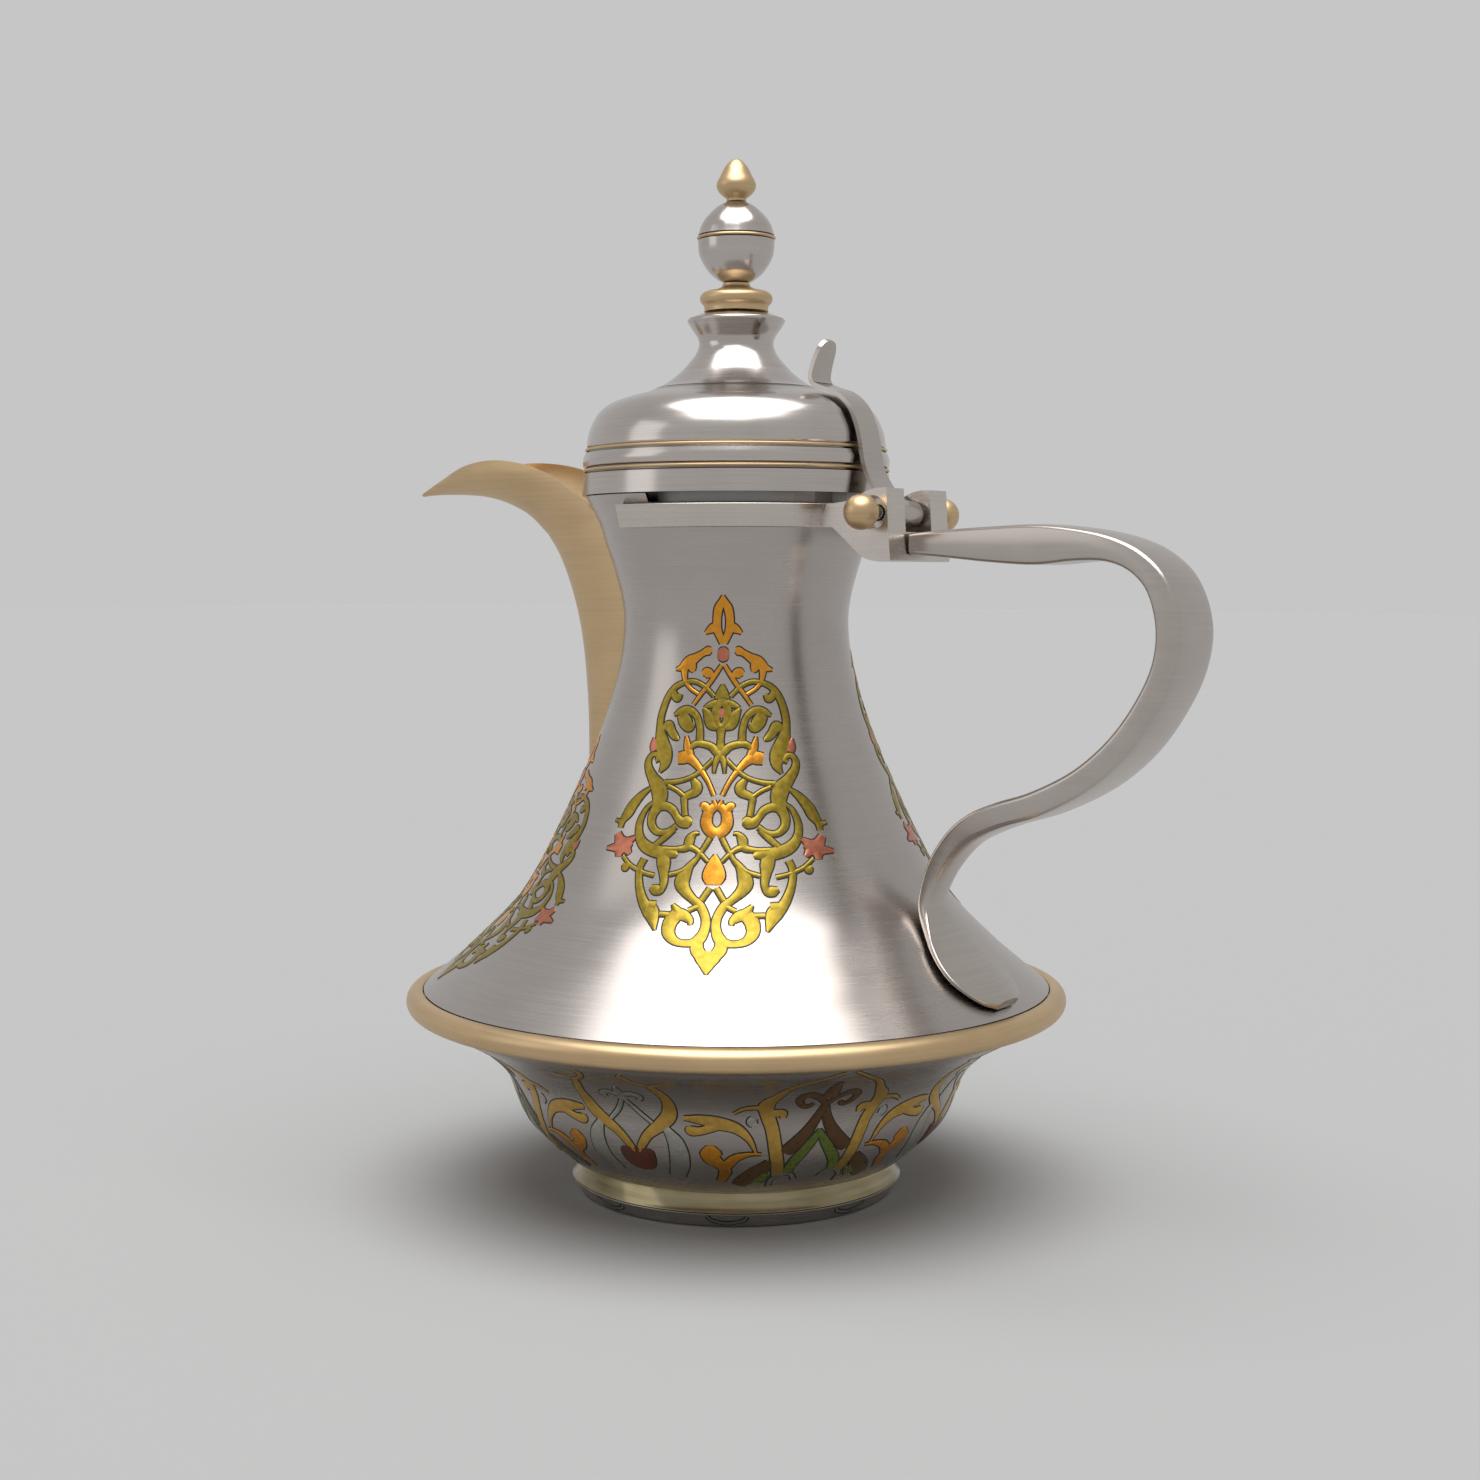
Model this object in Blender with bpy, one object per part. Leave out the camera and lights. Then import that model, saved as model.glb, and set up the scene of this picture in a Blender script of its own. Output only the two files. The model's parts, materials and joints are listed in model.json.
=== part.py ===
"""Dallah coffee pot: a spun steel pot with a gilt crescent spout, a hinged lid and a bowed handle.

Metres, +Z up.  The pot's axis is Z and the underside of the base is z = 0.
The handle is on the +X side, the spout on the -X side, and the lid hinge pin lies along Y.
Lengths below are in millimetres and become metres where a mesh is made.
"""
import bpy
import bmesh
import math
from mathutils import Vector

MM = 0.001

# ---- driving dimensions, millimetres ------------------------------------------------------
GAP = 0.3                 # clearance left between touching pieces
SHEET = 1.2               # spun steel sheet
LIP_Z = 202.7             # top of the neck on the spout side
LIP_CUT_Z = 200.2         # top of the neck on the handle side, where the lip is cut back
WAIST_R = 32.8            # narrowest part of the neck
RIM_R = 96.7              # widest point, on the gilt ring
RIM_TUBE = 3.4            # half thickness of the gilt ring
RIM_Z = 57.1              # height of the ring's middle
SEAM_R = 91.7             # where skirt and bowl meet inside the ring
BOWL_FLOOR_Z = 9.8        # flat underside of the bowl
FOOT_R = 48.75            # widest point of the foot
FOOT_JOINT_Z = 4.15       # joint between flared collar and base ring
FOOT_BASE_R = 46.3        # outer edge of the base ring on the table
BASE_DISC_R = 44.6

HINGE_X = 56.3            # hinge pin axis
HINGE_Z = 197.1
PIN_R = 2.0
BALL_R = 4.85
BALL_Y = 21.9             # middle of each ball from the handle plane
CHEEK_OUT = 16.3          # outer face of a bracket cheek
SLOT_HALF = 7.0           # half the slot between the cheeks
BRACKET_END_X = 61.4      # end face of the bracket, where the handle root meets it
YOKE_TOP_Z = 199.8
YOKE_LOW_Z = 193.3
YOKE_THICK = 2.2
YOKE_WRAP = math.radians(104)

SPOUT_HALF = 14.0         # half width of the spout where it leaves the neck
SPOUT_SHEET = 1.3

LID_Z = 203.0             # lower edge of the lid
LID_R = 44.8
BEAD_R = 0.55             # gilt wires set in the lid
BEAD_UPPER = (43.45, 216.1)
BEAD_LOWER = (44.15, 210.2)
CREASE_R = 23.4           # where the lid's spire rises from its dome
CREASE_Z = 233.8
FLARE_R = 14.2            # flared top of the spire
STUD_R = 1.5
STUD_TOP = 292.0
STUD_LOW = 249.8

STRAP_HALF = 5.1
STRAP_THICK = 1.3

ROUND = 36                # facets on the big turned pieces
ROUND_SMALL = 24          # facets on the finial

# ---- finishes -------------------------------------------------------------------------------
STEEL = (0.60, 0.58, 0.56, 1.0)
GILT = (0.72, 0.56, 0.37, 1.0)


def finish(name, colour, roughness):
    """A metal finish for one sub-part."""
    mat = bpy.data.materials.new(name)
    mat.use_nodes = True
    shader = mat.node_tree.nodes["Principled BSDF"]
    shader.inputs["Base Color"].default_value = colour
    shader.inputs["Metallic"].default_value = 1.0
    shader.inputs["Roughness"].default_value = roughness
    return mat


def place(name, bm, mat, sharp=35):
    """Turn a bmesh drawn in millimetres into a named object."""
    bmesh.ops.remove_doubles(bm, verts=bm.verts, dist=0.001)
    bmesh.ops.recalc_face_normals(bm, faces=bm.faces)
    bmesh.ops.scale(bm, vec=(MM, MM, MM), verts=bm.verts)
    mesh = bpy.data.meshes.new(name)
    bm.to_mesh(mesh)
    bm.free()
    mesh.shade_smooth()
    mesh.set_sharp_from_angle(angle=math.radians(sharp))
    obj = bpy.data.objects.new(name, mesh)
    bpy.context.collection.objects.link(obj)
    if mat:
        mesh.materials.append(mat)
    return obj


def as_cutter(obj):
    """Mark an object as a tool for a Boolean, which is no part of the pot."""
    obj.hide_render = True
    obj.display_type = "WIRE"
    return obj


def boolean(obj, tool, operation="DIFFERENCE"):
    mod = obj.modifiers.new(operation.lower() + "_" + tool.name, "BOOLEAN")
    mod.object = tool
    mod.operation = operation
    mod.solver = "EXACT"


# ---- outlines -------------------------------------------------------------------------------
def smooth(points, per_span):
    """Catmull-Rom curve through control points, with per_span steps between each two."""
    first = [2 * a - b for a, b in zip(points[0], points[1])]
    last = [2 * a - b for a, b in zip(points[-1], points[-2])]
    ring = [tuple(first)] + list(points) + [tuple(last)]
    out = []
    for i in range(1, len(ring) - 2):
        p0, p1, p2, p3 = ring[i - 1:i + 3]
        for k in range(per_span):
            t = k / per_span
            out.append(tuple(
                0.5 * (2 * b + (c - a) * t + (2 * a - 5 * b + 4 * c - d) * t * t
                       + (3 * b - a - 3 * c + d) * t ** 3)
                for a, b, c, d in zip(p0, p1, p2, p3)))
    out.append(tuple(points[-1]))
    return out


def offset(points, distance):
    """Shift an (r, z) outline to its left by a distance."""
    out = []
    for i, point in enumerate(points):
        a = Vector(points[max(i - 1, 0)])
        b = Vector(points[min(i + 1, len(points) - 1)])
        run = (b - a).normalized()
        out.append((point[0] - run.y * distance, point[1] + run.x * distance))
    return out


def radius_at(outline, z):
    """Radius of an outline that falls from top to bottom, at one height."""
    for (r0, z0), (r1, z1) in zip(outline, outline[1:]):
        if z1 <= z <= z0:
            return r0 + (r1 - r0) * (z0 - z) / (z0 - z1)
    return outline[0][0] if z > outline[0][1] else outline[-1][0]


# The neck and skirt, top to bottom: a waist that opens into a wide skirt.
BODY = smooth([(43.7, LIP_Z), (39.9, 195.4), (35.8, 182.8), (33.3, 173), (WAIST_R, 164.5),
               (34.3, 153.3), (38.4, 138.6), (44.3, 124.0), (52.5, 106.0), (62.8, 87.6),
               (75.8, 73.9), (85.2, 65.8), (SEAM_R, 60.45)], 2)

# The bowl under the ring, top to bottom.
BOWL = smooth([(SEAM_R, 54.3), (85.1, 50.0), (75.2, 44.0), (67.6, 36.0), (64.5, 28.0),
               (59.9, 20.0), (51.9, 12.4), (47.5, BOWL_FLOOR_Z)], 2)


def spin(profile, segments):
    """Spin a closed (r, z) profile right round Z into a bmesh."""
    bm = bmesh.new()
    verts = [bm.verts.new((max(r, 0.0), 0.0, z)) for r, z in profile]
    edges = [bm.edges.new((a, b)) for a, b in zip(verts, verts[1:] + verts[:1])]
    bmesh.ops.spin(bm, geom=verts + edges, cent=(0, 0, 0), axis=(0, 0, 1),
                   angle=2 * math.pi, steps=segments, use_merge=True)
    bmesh.ops.remove_doubles(bm, verts=bm.verts, dist=0.001)
    return bm


def turned(name, profile, mat, segments=ROUND):
    return place(name, spin(profile, segments), mat)


def solid_spin(profile, segments):
    """Spin an outline whose two ends lie on the axis, such as a plug."""
    bm = bmesh.new()
    verts = [bm.verts.new((r, 0.0, z)) for r, z in profile]
    edges = [bm.edges.new((a, b)) for a, b in zip(verts, verts[1:])]
    bmesh.ops.spin(bm, geom=verts + edges, cent=(0, 0, 0), axis=(0, 0, 1),
                   angle=2 * math.pi, steps=segments, use_merge=True)
    bmesh.ops.remove_doubles(bm, verts=bm.verts, dist=0.001)
    return bm


def extruded(outline, half, axis="Y"):
    """Extrude an (x, z) outline both ways along Y, or an (x, y) outline along Z."""
    bm = bmesh.new()
    if axis == "Y":
        verts = [bm.verts.new((x, -half, z)) for x, z in outline]
        run = (0, 2 * half, 0)
    else:
        verts = [bm.verts.new((x, y, -half)) for x, y in outline]
        run = (0, 0, 2 * half)
    face = bm.faces.new(verts)
    new = bmesh.ops.extrude_face_region(bm, geom=[face])["geom"]
    bmesh.ops.translate(bm, vec=run, verts=[v for v in new if isinstance(v, bmesh.types.BMVert)])
    return bm


def box(name, low, high):
    """A box-shaped cutter between two corners."""
    bm = bmesh.new()
    bmesh.ops.create_cube(bm, size=1.0)
    for v in bm.verts:
        v.co = Vector([lo + (c + 0.5) * (hi - lo) for c, lo, hi in zip(v.co, low, high)])
    return as_cutter(place(name, bm, None))


def rod_mesh(bm, radius, start, end, segments):
    """Add a closed cylinder between two points."""
    a, b = Vector(start), Vector(end)
    turn = (b - a).to_track_quat("Z", "Y").to_matrix().to_4x4()
    turn.translation = (a + b) / 2
    bmesh.ops.create_cone(bm, cap_ends=True, segments=segments, radius1=radius, radius2=radius,
                          depth=(b - a).length, matrix=turn)


def rod(name, radius, start, end, mat=None, segments=20):
    bm = bmesh.new()
    rod_mesh(bm, radius, start, end, segments)
    return place(name, bm, mat)


def skin(rings):
    """Join rings of points, all of one length, into a closed tube."""
    bm = bmesh.new()
    rows = [[bm.verts.new(p) for p in ring] for ring in rings]
    count = len(rows[0])
    for low, high in zip(rows, rows[1:]):
        for i in range(count):
            j = (i + 1) % count
            bm.faces.new((low[i], low[j], high[j], high[i]))
    bm.faces.new(rows[0])
    bm.faces.new(rows[-1])
    return bm


# ---- the pot ----------------------------------------------------------------------------------
def shell_profile(outer, top_cut, low_cut):
    """Closed profile of a sheet whose ends are cut flat along r or along z."""
    inner = offset(outer, -SHEET)
    inner = inner[:1] + inner[2:-2:2] + inner[-1:]

    def end(here, there, cut):
        run = (Vector(there) - Vector(here)).normalized()
        if cut == "z":
            return (here[0] - SHEET / abs(run.y), here[1])
        return (here[0], here[1] - SHEET / abs(run.x))

    inner[0] = end(outer[0], outer[1], top_cut)
    inner[-1] = end(outer[-1], outer[-2], low_cut)
    return outer + inner[::-1]


def make_body():
    """Neck and skirt, one spun shell, with a lip cut back at the hinge and a spout opening."""
    body = turned("body_shell", shell_profile(BODY, "z", "r"), finish("body_steel", STEEL, 0.28))
    boolean(body, box("lip_cutter", (0, -60, LIP_CUT_Z), (60, 60, LIP_Z + 5)))
    arch = [(9 * math.cos(a), 170 + 16 * math.sin(a)) for a in
            [2 * math.pi * k / 16 for k in range(16)]]
    bm = bmesh.new()
    verts = [bm.verts.new((-60, y, z)) for y, z in arch]
    face = bm.faces.new(verts)
    new = bmesh.ops.extrude_face_region(bm, geom=[face])["geom"]
    bmesh.ops.translate(bm, vec=(50, 0, 0), verts=[v for v in new if isinstance(v, bmesh.types.BMVert)])
    boolean(body, as_cutter(place("spout_opening_cutter", bm, None)))


def make_bowl():
    """Lower bowl: a flange inside the ring, the bulging wall and the closed floor."""
    wall = offset(BOWL, -SHEET)
    flange_top = 58.4
    inner_r = SEAM_R - SHEET
    outer = [(SEAM_R, flange_top)] + BOWL + [(0.0, BOWL_FLOOR_Z)]
    inner = [(inner_r, flange_top), (inner_r, 55.3)] + wall[2:-1:2] + [
        (47.0, BOWL_FLOOR_Z + SHEET), (0.0, BOWL_FLOOR_Z + SHEET)]
    place("bowl_shell", solid_spin(inner[::-1] + outer, ROUND), finish("bowl_steel", STEEL, 0.3))


def make_ring():
    """Gilt ring that covers the seam, flat on its inner side."""
    middle = RIM_R - RIM_TUBE
    flat = SEAM_R + GAP
    reach = math.acos((flat - middle) / RIM_TUBE)
    steps = 10
    arc = [(middle + RIM_TUBE * math.cos(a), RIM_Z + RIM_TUBE * math.sin(a))
           for a in [reach - 2 * reach * k / steps for k in range(steps + 1)]]
    turned("rim_ring", arc, finish("rim_gilt", GILT, 0.22))


def make_foot():
    """Flared collar, tapered base ring and the disc that closes the underside."""
    top = BOWL_FLOOR_Z - GAP
    collar = smooth([(46.2, top), (47.1, 7.2), (FOOT_R, FOOT_JOINT_Z + GAP)], 2)
    turned("foot_collar", shell_profile(collar, "z", "z"), finish("collar_steel", STEEL, 0.3))
    bed = [(FOOT_R, FOOT_JOINT_Z - 0.05), (FOOT_R - 0.3, 3.4), (FOOT_BASE_R, 0.0),
           (BASE_DISC_R + GAP, 0.0), (BASE_DISC_R + GAP, FOOT_JOINT_Z - 0.05)]
    turned("foot_ring", bed, finish("foot_steel", STEEL, 0.3))
    disc = [(0.0, 1.5), (BASE_DISC_R, 1.5), (BASE_DISC_R, 0.0), (0.0, 0.0)]
    place("base_disc", solid_spin(disc, ROUND), finish("disc_steel", STEEL, 0.35))


def make_strainer():
    """Perforated plate soldered inside the neck, behind the spout."""
    wall = offset(BODY, -(SHEET + GAP))
    plate = 0.8
    rows = [188 - 6 * k for k in range(7)]
    sides = [math.pi + math.radians(6 * k) for k in range(-4, 5)]
    rings = []
    for a in sides:
        outer = [(radius_at(wall, z), z) for z in rows]
        loop = outer + [(r - plate, z) for r, z in outer[::-1]]
        rings.append([(r * math.cos(a), r * math.sin(a), z) for r, z in loop])
    strainer = place("strainer_plate", skin(rings), finish("strainer_steel", STEEL, 0.35))
    bm = bmesh.new()
    for row in range(5):
        across = (-5.4, 0.0, 5.4) if row % 2 == 0 else (-2.7, 2.7)
        for y in across:
            z = 158.4 + 5.8 * row
            rod_mesh(bm, 1.7, (-50, y, z), (-15, y, z), 8)
    boolean(strainer, as_cutter(place("strainer_cutter", bm, None)))


# ---- the spout --------------------------------------------------------------------------------
def make_spout():
    """Open-topped crescent channel: each station runs from a rim edge round the keel and back.

    A station holds the keel (distance from the axis, height), the rim edge (the same), and
    the half width.  Up to the neck's top the edges lie on the neck, so their distance follows it.
    """
    skirt = offset(BODY, GAP + 0.15)
    on_body = smooth([(54.9, 104.0, 104.6, 1.6), (53.3, 115.0, 115.0, 6.6), (52.7, 127.0, 127.0, 9.8),
                      (53.3, 143.0, 143.0, 12.0), (55.3, 160.0, 160.0, 13.2),
                      (58.9, 174.0, 175.0, 13.8), (64.0, 185.6, 188.0, SPOUT_HALF),
                      (69.2, 192.6, 197.4, SPOUT_HALF)], 2)
    free = smooth([(69.2, 192.6, 39.6, 197.4, SPOUT_HALF), (76.4, 198.4, 47.0, 202.9, SPOUT_HALF),
                   (85.0, 202.2, 58.0, 209.4, 13.9), (94.0, 204.5, 70.0, 213.7, 13.2),
                   (103.5, 205.5, 84.0, 215.5, 11.4), (112.5, 205.8, 99.0, 214.2, 7.8),
                   (119.0, 205.7, 112.0, 210.2, 4.0), (123.4, 205.4, 123.2, 206.2, 1.1)], 2)
    arc_steps = 8
    rings = []

    def ring(keel, edge_of, edge_z, half, sheet):
        """One closed U section, outer side then inner side."""
        loop = []
        for inside in (False, True):
            trim = sheet if inside else 0.0
            wide = half - trim
            edge = (-edge_of(wide), edge_z)
            deep = Vector((-keel[0] - edge[0], keel[1] - edge[1]))
            deep = deep * (1 - trim / deep.length)
            side = []
            for k in range(arc_steps + 1):
                a = math.pi * k / arc_steps
                side.append((edge[0] + deep.x * math.sin(a), -wide * math.cos(a),
                             edge[1] + deep.y * math.sin(a)))
            loop += side[::-1] if inside else side
        return loop

    for keel_r, keel_z, edge_z, half in on_body:
        near = radius_at(skirt, edge_z)
        sheet = min(SPOUT_SHEET, half * 0.5)
        rings.append(ring((keel_r, keel_z), lambda y, r=near: math.sqrt(r * r - y * y),
                          edge_z, half, sheet))
    for keel_r, keel_z, edge_r, edge_z, half in free[1:]:
        sheet = min(SPOUT_SHEET, half * 0.45)
        rings.append(ring((keel_r, keel_z), lambda y, r=edge_r: r, edge_z, half, sheet))
    place("spout", skin(rings), finish("spout_gilt", GILT, 0.3))


# ---- the yoke, the hinge and the handle --------------------------------------------------------
def make_yoke():
    """Band round the back of the neck that carries the hinge cheeks and the handle's root."""
    wall = offset(BODY, GAP)
    rings = []
    steps = 26
    top_r = radius_at(wall, YOKE_TOP_Z) + YOKE_THICK
    low_r = top_r - 1.6
    section = [(radius_at(wall, YOKE_TOP_Z), YOKE_TOP_Z), (radius_at(wall, 196.5), 196.5),
               (radius_at(wall, YOKE_LOW_Z), YOKE_LOW_Z), (low_r, YOKE_LOW_Z), (top_r, YOKE_TOP_Z)]
    for k in range(steps + 1):
        a = YOKE_WRAP * (2 * k / steps - 1)
        rings.append([(r * math.cos(a), r * math.sin(a), z) for r, z in section])
    yoke = place("yoke_bracket", skin(rings), finish("yoke_steel", STEEL, 0.25))

    side = [(36, YOKE_TOP_Z), (44, YOKE_TOP_Z), (48, 200.3), (51.5, 201.6), (54.8, 203.1),
            (57.6, 203.7), (60.7, 203.7), (BRACKET_END_X, 192.0), (62.0, 184.2), (61.6, 183.8),
            (58.4, 183.8), (55.4, 184.3), (52.6, 185.5), (46.0, 191.2), (43.4, YOKE_LOW_Z),
            (36, YOKE_LOW_Z)]
    clevis = as_cutter(place("clevis_block", extruded(side, CHEEK_OUT), None))
    hollow = [(r, z) for r, z in wall if 180 < z] + [(0.0, 181.0)]
    neck_cutter = [(0.0, LIP_Z + 1)] + [(wall[0][0], LIP_Z + 1)] + hollow
    boolean(clevis, as_cutter(place("neck_cutter", solid_spin(neck_cutter, ROUND), None)))
    boolean(clevis, box("slot_cutter", (47.5, -SLOT_HALF, 191.9), (70, SLOT_HALF, 210)))
    boolean(clevis, as_cutter(rod("pin_hole_cutter", PIN_R + GAP, (HINGE_X, -30, HINGE_Z),
                                  (HINGE_X, 30, HINGE_Z))))
    for side_sign in (-1, 1):
        start = (HINGE_X, side_sign * (CHEEK_OUT - 3.0), HINGE_Z)
        end = (HINGE_X, side_sign * (CHEEK_OUT + 5.0), HINGE_Z)
        boolean(clevis, as_cutter(rod("recess_cutter_%d" % (side_sign + 1), 4.2, start, end,
                                      segments=24)))
    boolean(yoke, clevis, "UNION")


def ball(name, sign, mat):
    """A turned ball with a small flat where it meets the pin."""
    cut = 4.2
    start = math.acos(cut / BALL_R)
    steps = 12
    arc = [(BALL_R * math.sin(a), BALL_R * math.cos(a))
           for a in [start + (math.pi - start) * k / steps for k in range(steps + 1)]]
    profile = [(0.0, cut)] + arc[:-1] + [(0.0, -BALL_R)]
    bm = solid_spin(profile, ROUND_SMALL)
    obj = place(name, bm, mat)
    obj.rotation_euler = (math.radians(90) * sign, 0, 0)
    obj.location = (HINGE_X * MM, sign * BALL_Y * MM, HINGE_Z * MM)


def make_pin():
    reach = BALL_Y - 4.2 - GAP
    rod("hinge_pin", PIN_R, (HINGE_X, -reach, HINGE_Z), (HINGE_X, reach, HINGE_Z),
        finish("pin_steel", STEEL, 0.2))
    ball("hinge_ball_left", -1, finish("ball_gilt_left", GILT, 0.2))
    ball("hinge_ball_right", 1, finish("ball_gilt_right", GILT, 0.2))


def make_handle():
    """Bowed handle, lofted from its root on the bracket down to a leaf laid on the skirt.

    A station is (x, z, thickness, half width, ridge height).
    """
    bow = smooth([(BRACKET_END_X + 0.9, 188.7, 5.8, 6.9, 0.0), (75.0, 188.6, 7.8, 7.2, 0.1),
                  (88.0, 188.3, 9.6, 7.8, 0.2), (101.0, 188.1, 10.5, 8.7, 0.3),
                  (113.0, 188.0, 8.4, 9.6, 0.4), (123.0, 186.8, 6.6, 10.3, 0.4),
                  (131.0, 183.4, 6.1, 10.7, 0.4), (137.0, 177.2, 6.5, 11.0, 0.4),
                  (140.1, 167.0, 7.2, 11.0, 0.4), (138.9, 156.4, 6.9, 11.0, 0.4),
                  (133.9, 145.8, 6.8, 11.0, 0.4), (126.2, 135.4, 6.8, 11.2, 0.4),
                  (115.8, 126.6, 6.7, 11.2, 0.4), (103.0, 120.0, 6.8, 10.7, 0.4),
                  (92.0, 116.4, 6.8, 9.5, 0.4), (83.6, 113.0, 6.8, 8.1, 0.4),
                  (76.9, 108.6, 6.1, 6.8, 0.3), (71.2, 101.8, 5.7, 5.7, 0.3),
                  (67.6, 94.4, 4.8, 5.2, 0.3), (66.5, 88.2, 3.6, 5.8, 0.4)], 1)
    leaf = [(68.3, 2.3, 8.6, 0.4), (72.0, 1.7, 11.8, 0.8), (76.0, 1.4, 13.9, 1.1),
            (80.0, 1.3, 14.5, 1.3), (84.0, 1.3, 13.0, 1.4), (87.3, 1.6, 9.9, 1.2),
            (89.3, 2.2, 5.4, 0.5)]
    stations = list(bow)
    for r, thick, half, ridge in leaf:
        index = min(range(1, len(BODY) - 1), key=lambda i: abs(BODY[i][0] - r))
        (r0, z0), (r1, z1) = BODY[index - 1], BODY[index + 1]
        out = Vector((z0 - z1, r1 - r0)).normalized()
        z = next(za + (zb - za) * (r - ra) / (rb - ra)
                 for (ra, za), (rb, zb) in zip(BODY, BODY[1:]) if ra <= r <= rb)
        lift = 0.55 + thick / 2
        stations.append((r + out.x * lift, z + out.y * lift, thick, half, ridge))
    rings = []
    for i, (x, z, thick, half, ridge) in enumerate(stations):
        before = stations[max(i - 1, 0)]
        after = stations[min(i + 1, len(stations) - 1)]
        along = Vector((after[0] - before[0], after[1] - before[1])).normalized()
        if i == 0:
            along = Vector((1.0, 0.0))
        out = Vector((-along.y, along.x))
        bevel = min(0.9, thick * 0.3)
        h = thick / 2
        section = [(-half, -h + bevel), (-half + bevel, -h), (0, -h), (half - bevel, -h),
                   (half, -h + bevel), (half, h - bevel), (half - bevel, h), (half * 0.5, h + ridge * 0.45),
                   (0, h + ridge), (-half * 0.5, h + ridge * 0.45), (-half + bevel, h), (-half, h - bevel)]
        rings.append([(x + out.x * n, y, z + out.y * n) for y, n in section])
    place("handle", skin(rings), finish("handle_steel", STEEL, 0.25))


# ---- the lid ------------------------------------------------------------------------------------
def groove(centre, radius):
    """Points of a shallow round groove in the lid's side, from top to bottom."""
    room = radius + GAP
    return [(centre[0] - room * math.sin(a), centre[1] + room * math.cos(a))
            for a in [math.pi * (0.12 + 0.38 * k) for k in range(3)]]


def make_lid():
    """Dome, its two gilt wires, the inner flange, and the spire with its flared top."""
    shoulder = smooth([(26.6, 232.6), (31.5, 231.3), (36.4, 229.5), (39.8, 226.9), (41.7, 223.8),
                       (42.9, 220.6), (43.4, 217.2)], 1)
    band = [(43.9, 215.1), (44.5, 213.2), (44.4, 211.3)]
    skirt = [(44.4, 209.1), (44.6, 206.0), (LID_R, LID_Z)]
    outer = ([(20.4, CREASE_Z), (CREASE_R + 0.3, CREASE_Z)] + shoulder
             + groove(BEAD_UPPER, BEAD_R) + band + groove(BEAD_LOWER, BEAD_R) + skirt)
    inner = [(20.4, 232.6), (26.2, 231.3), (35.4, 228.3), (38.6, 225.9), (41.1, 220.6),
             (41.9, 216.0), (42.6, 210.0), (43.5, LID_Z)]
    turned("lid_dome", outer + inner[::-1], finish("lid_steel", STEEL, 0.2))

    for name, centre in (("lid_wire_upper", BEAD_UPPER), ("lid_wire_lower", BEAD_LOWER)):
        wire = [(centre[0] + BEAD_R * math.cos(a), centre[1] + BEAD_R * math.sin(a))
                for a in [math.pi * k / 2 for k in range(4)]]
        turned(name, wire[::-1], finish(name + "_gilt", GILT, 0.2))

    flange = [(36.6, 204.9), (43.0, 204.9), (43.0, 203.7), (38.0, 203.7), (37.8, 196.2), (36.6, 196.2)]
    turned("lid_inner_flange", flange, finish("flange_steel", STEEL, 0.35))

    spire = smooth([(CREASE_R - 0.2, CREASE_Z + GAP), (18.4, 236.7), (14.6, 240.3), (11.6, 244.2),
                    (10.8, 247.0), (11.9, 249.8), (13.5, 252.1), (FLARE_R, 253.3)], 1)
    under = [(1.9, 254.3), (9.0, 254.3), (12.3, 253.2), (9.5, 247.0), (13.2, 239.8),
             (CREASE_R - 1.9, CREASE_Z + GAP)]
    top = [(1.9, 255.7), (9.4, 255.7), (13.8, 254.1)]
    turned("lid_spire", top + spire[::-1] + under[::-1], finish("spire_steel", STEEL, 0.2), 32)


def make_finial():
    """Finial pieces, all threaded on one stud that a nut holds inside the spire."""
    bore = STUD_R + GAP
    stacks = {
        "finial_base": (smooth([(3.9, 264.2), (4.6, 263.3), (8.2, 261.9), (10.4, 260.3), (10.1, 258.4),
                                (9.2, 256.0)], 2), GILT),
        "finial_ball_lower": (smooth([(11.1, 276.4), (10.9, 273.4), (9.6, 269.8), (7.2, 266.7),
                                      (3.9, 264.5)], 2), STEEL),
        "finial_band": ([(11.15, 277.6), (11.4, 277.15), (11.15, 276.7)], GILT),
        "finial_ball_upper": (smooth([(3.2, 287.3), (5.6, 286.0), (8.2, 283.6), (10.2, 280.7),
                                      (11.05, 277.9)], 2), STEEL),
    }
    for name, (outer, colour) in stacks.items():
        profile = [(bore, outer[0][1])] + outer + [(bore, outer[-1][1])]
        turned(name, profile, finish(name + "_metal", colour, 0.18), ROUND_SMALL)
    drop = smooth([(0.0, 300.0), (1.7, 299.0), (3.5, 297.0), (5.0, 294.2), (5.7, 291.9), (4.9, 290.0),
                   (3.0, 288.8), (2.9, 287.6)], 2)
    drop[0] = (0.0, 300.0)
    place("finial_tip", solid_spin(drop + [(bore, 287.6), (bore, STUD_TOP + GAP), (0.0, STUD_TOP + GAP)],
                                   ROUND_SMALL), finish("tip_gilt", GILT, 0.18))
    rod("finial_stud", STUD_R, (0, 0, STUD_LOW), (0, 0, STUD_TOP), finish("stud_steel", STEEL, 0.4), 12)
    turned("finial_washer", [(bore, 254.0), (4.2, 254.0), (4.2, 253.3), (bore, 253.3)],
           finish("washer_steel", STEEL, 0.4), ROUND_SMALL)
    hexagon = [(3.2 * math.cos(a), 3.2 * math.sin(a)) for a in [math.pi * k / 3 for k in range(6)]]
    bm = extruded(hexagon, 1.2, "Z")
    bmesh.ops.translate(bm, vec=(0, 0, 251.8), verts=bm.verts)
    nut = place("finial_nut", bm, finish("nut_steel", STEEL, 0.4))
    boolean(nut, as_cutter(rod("nut_bore_cutter", bore, (0, 0, 240), (0, 0, 260), segments=12)))


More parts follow.
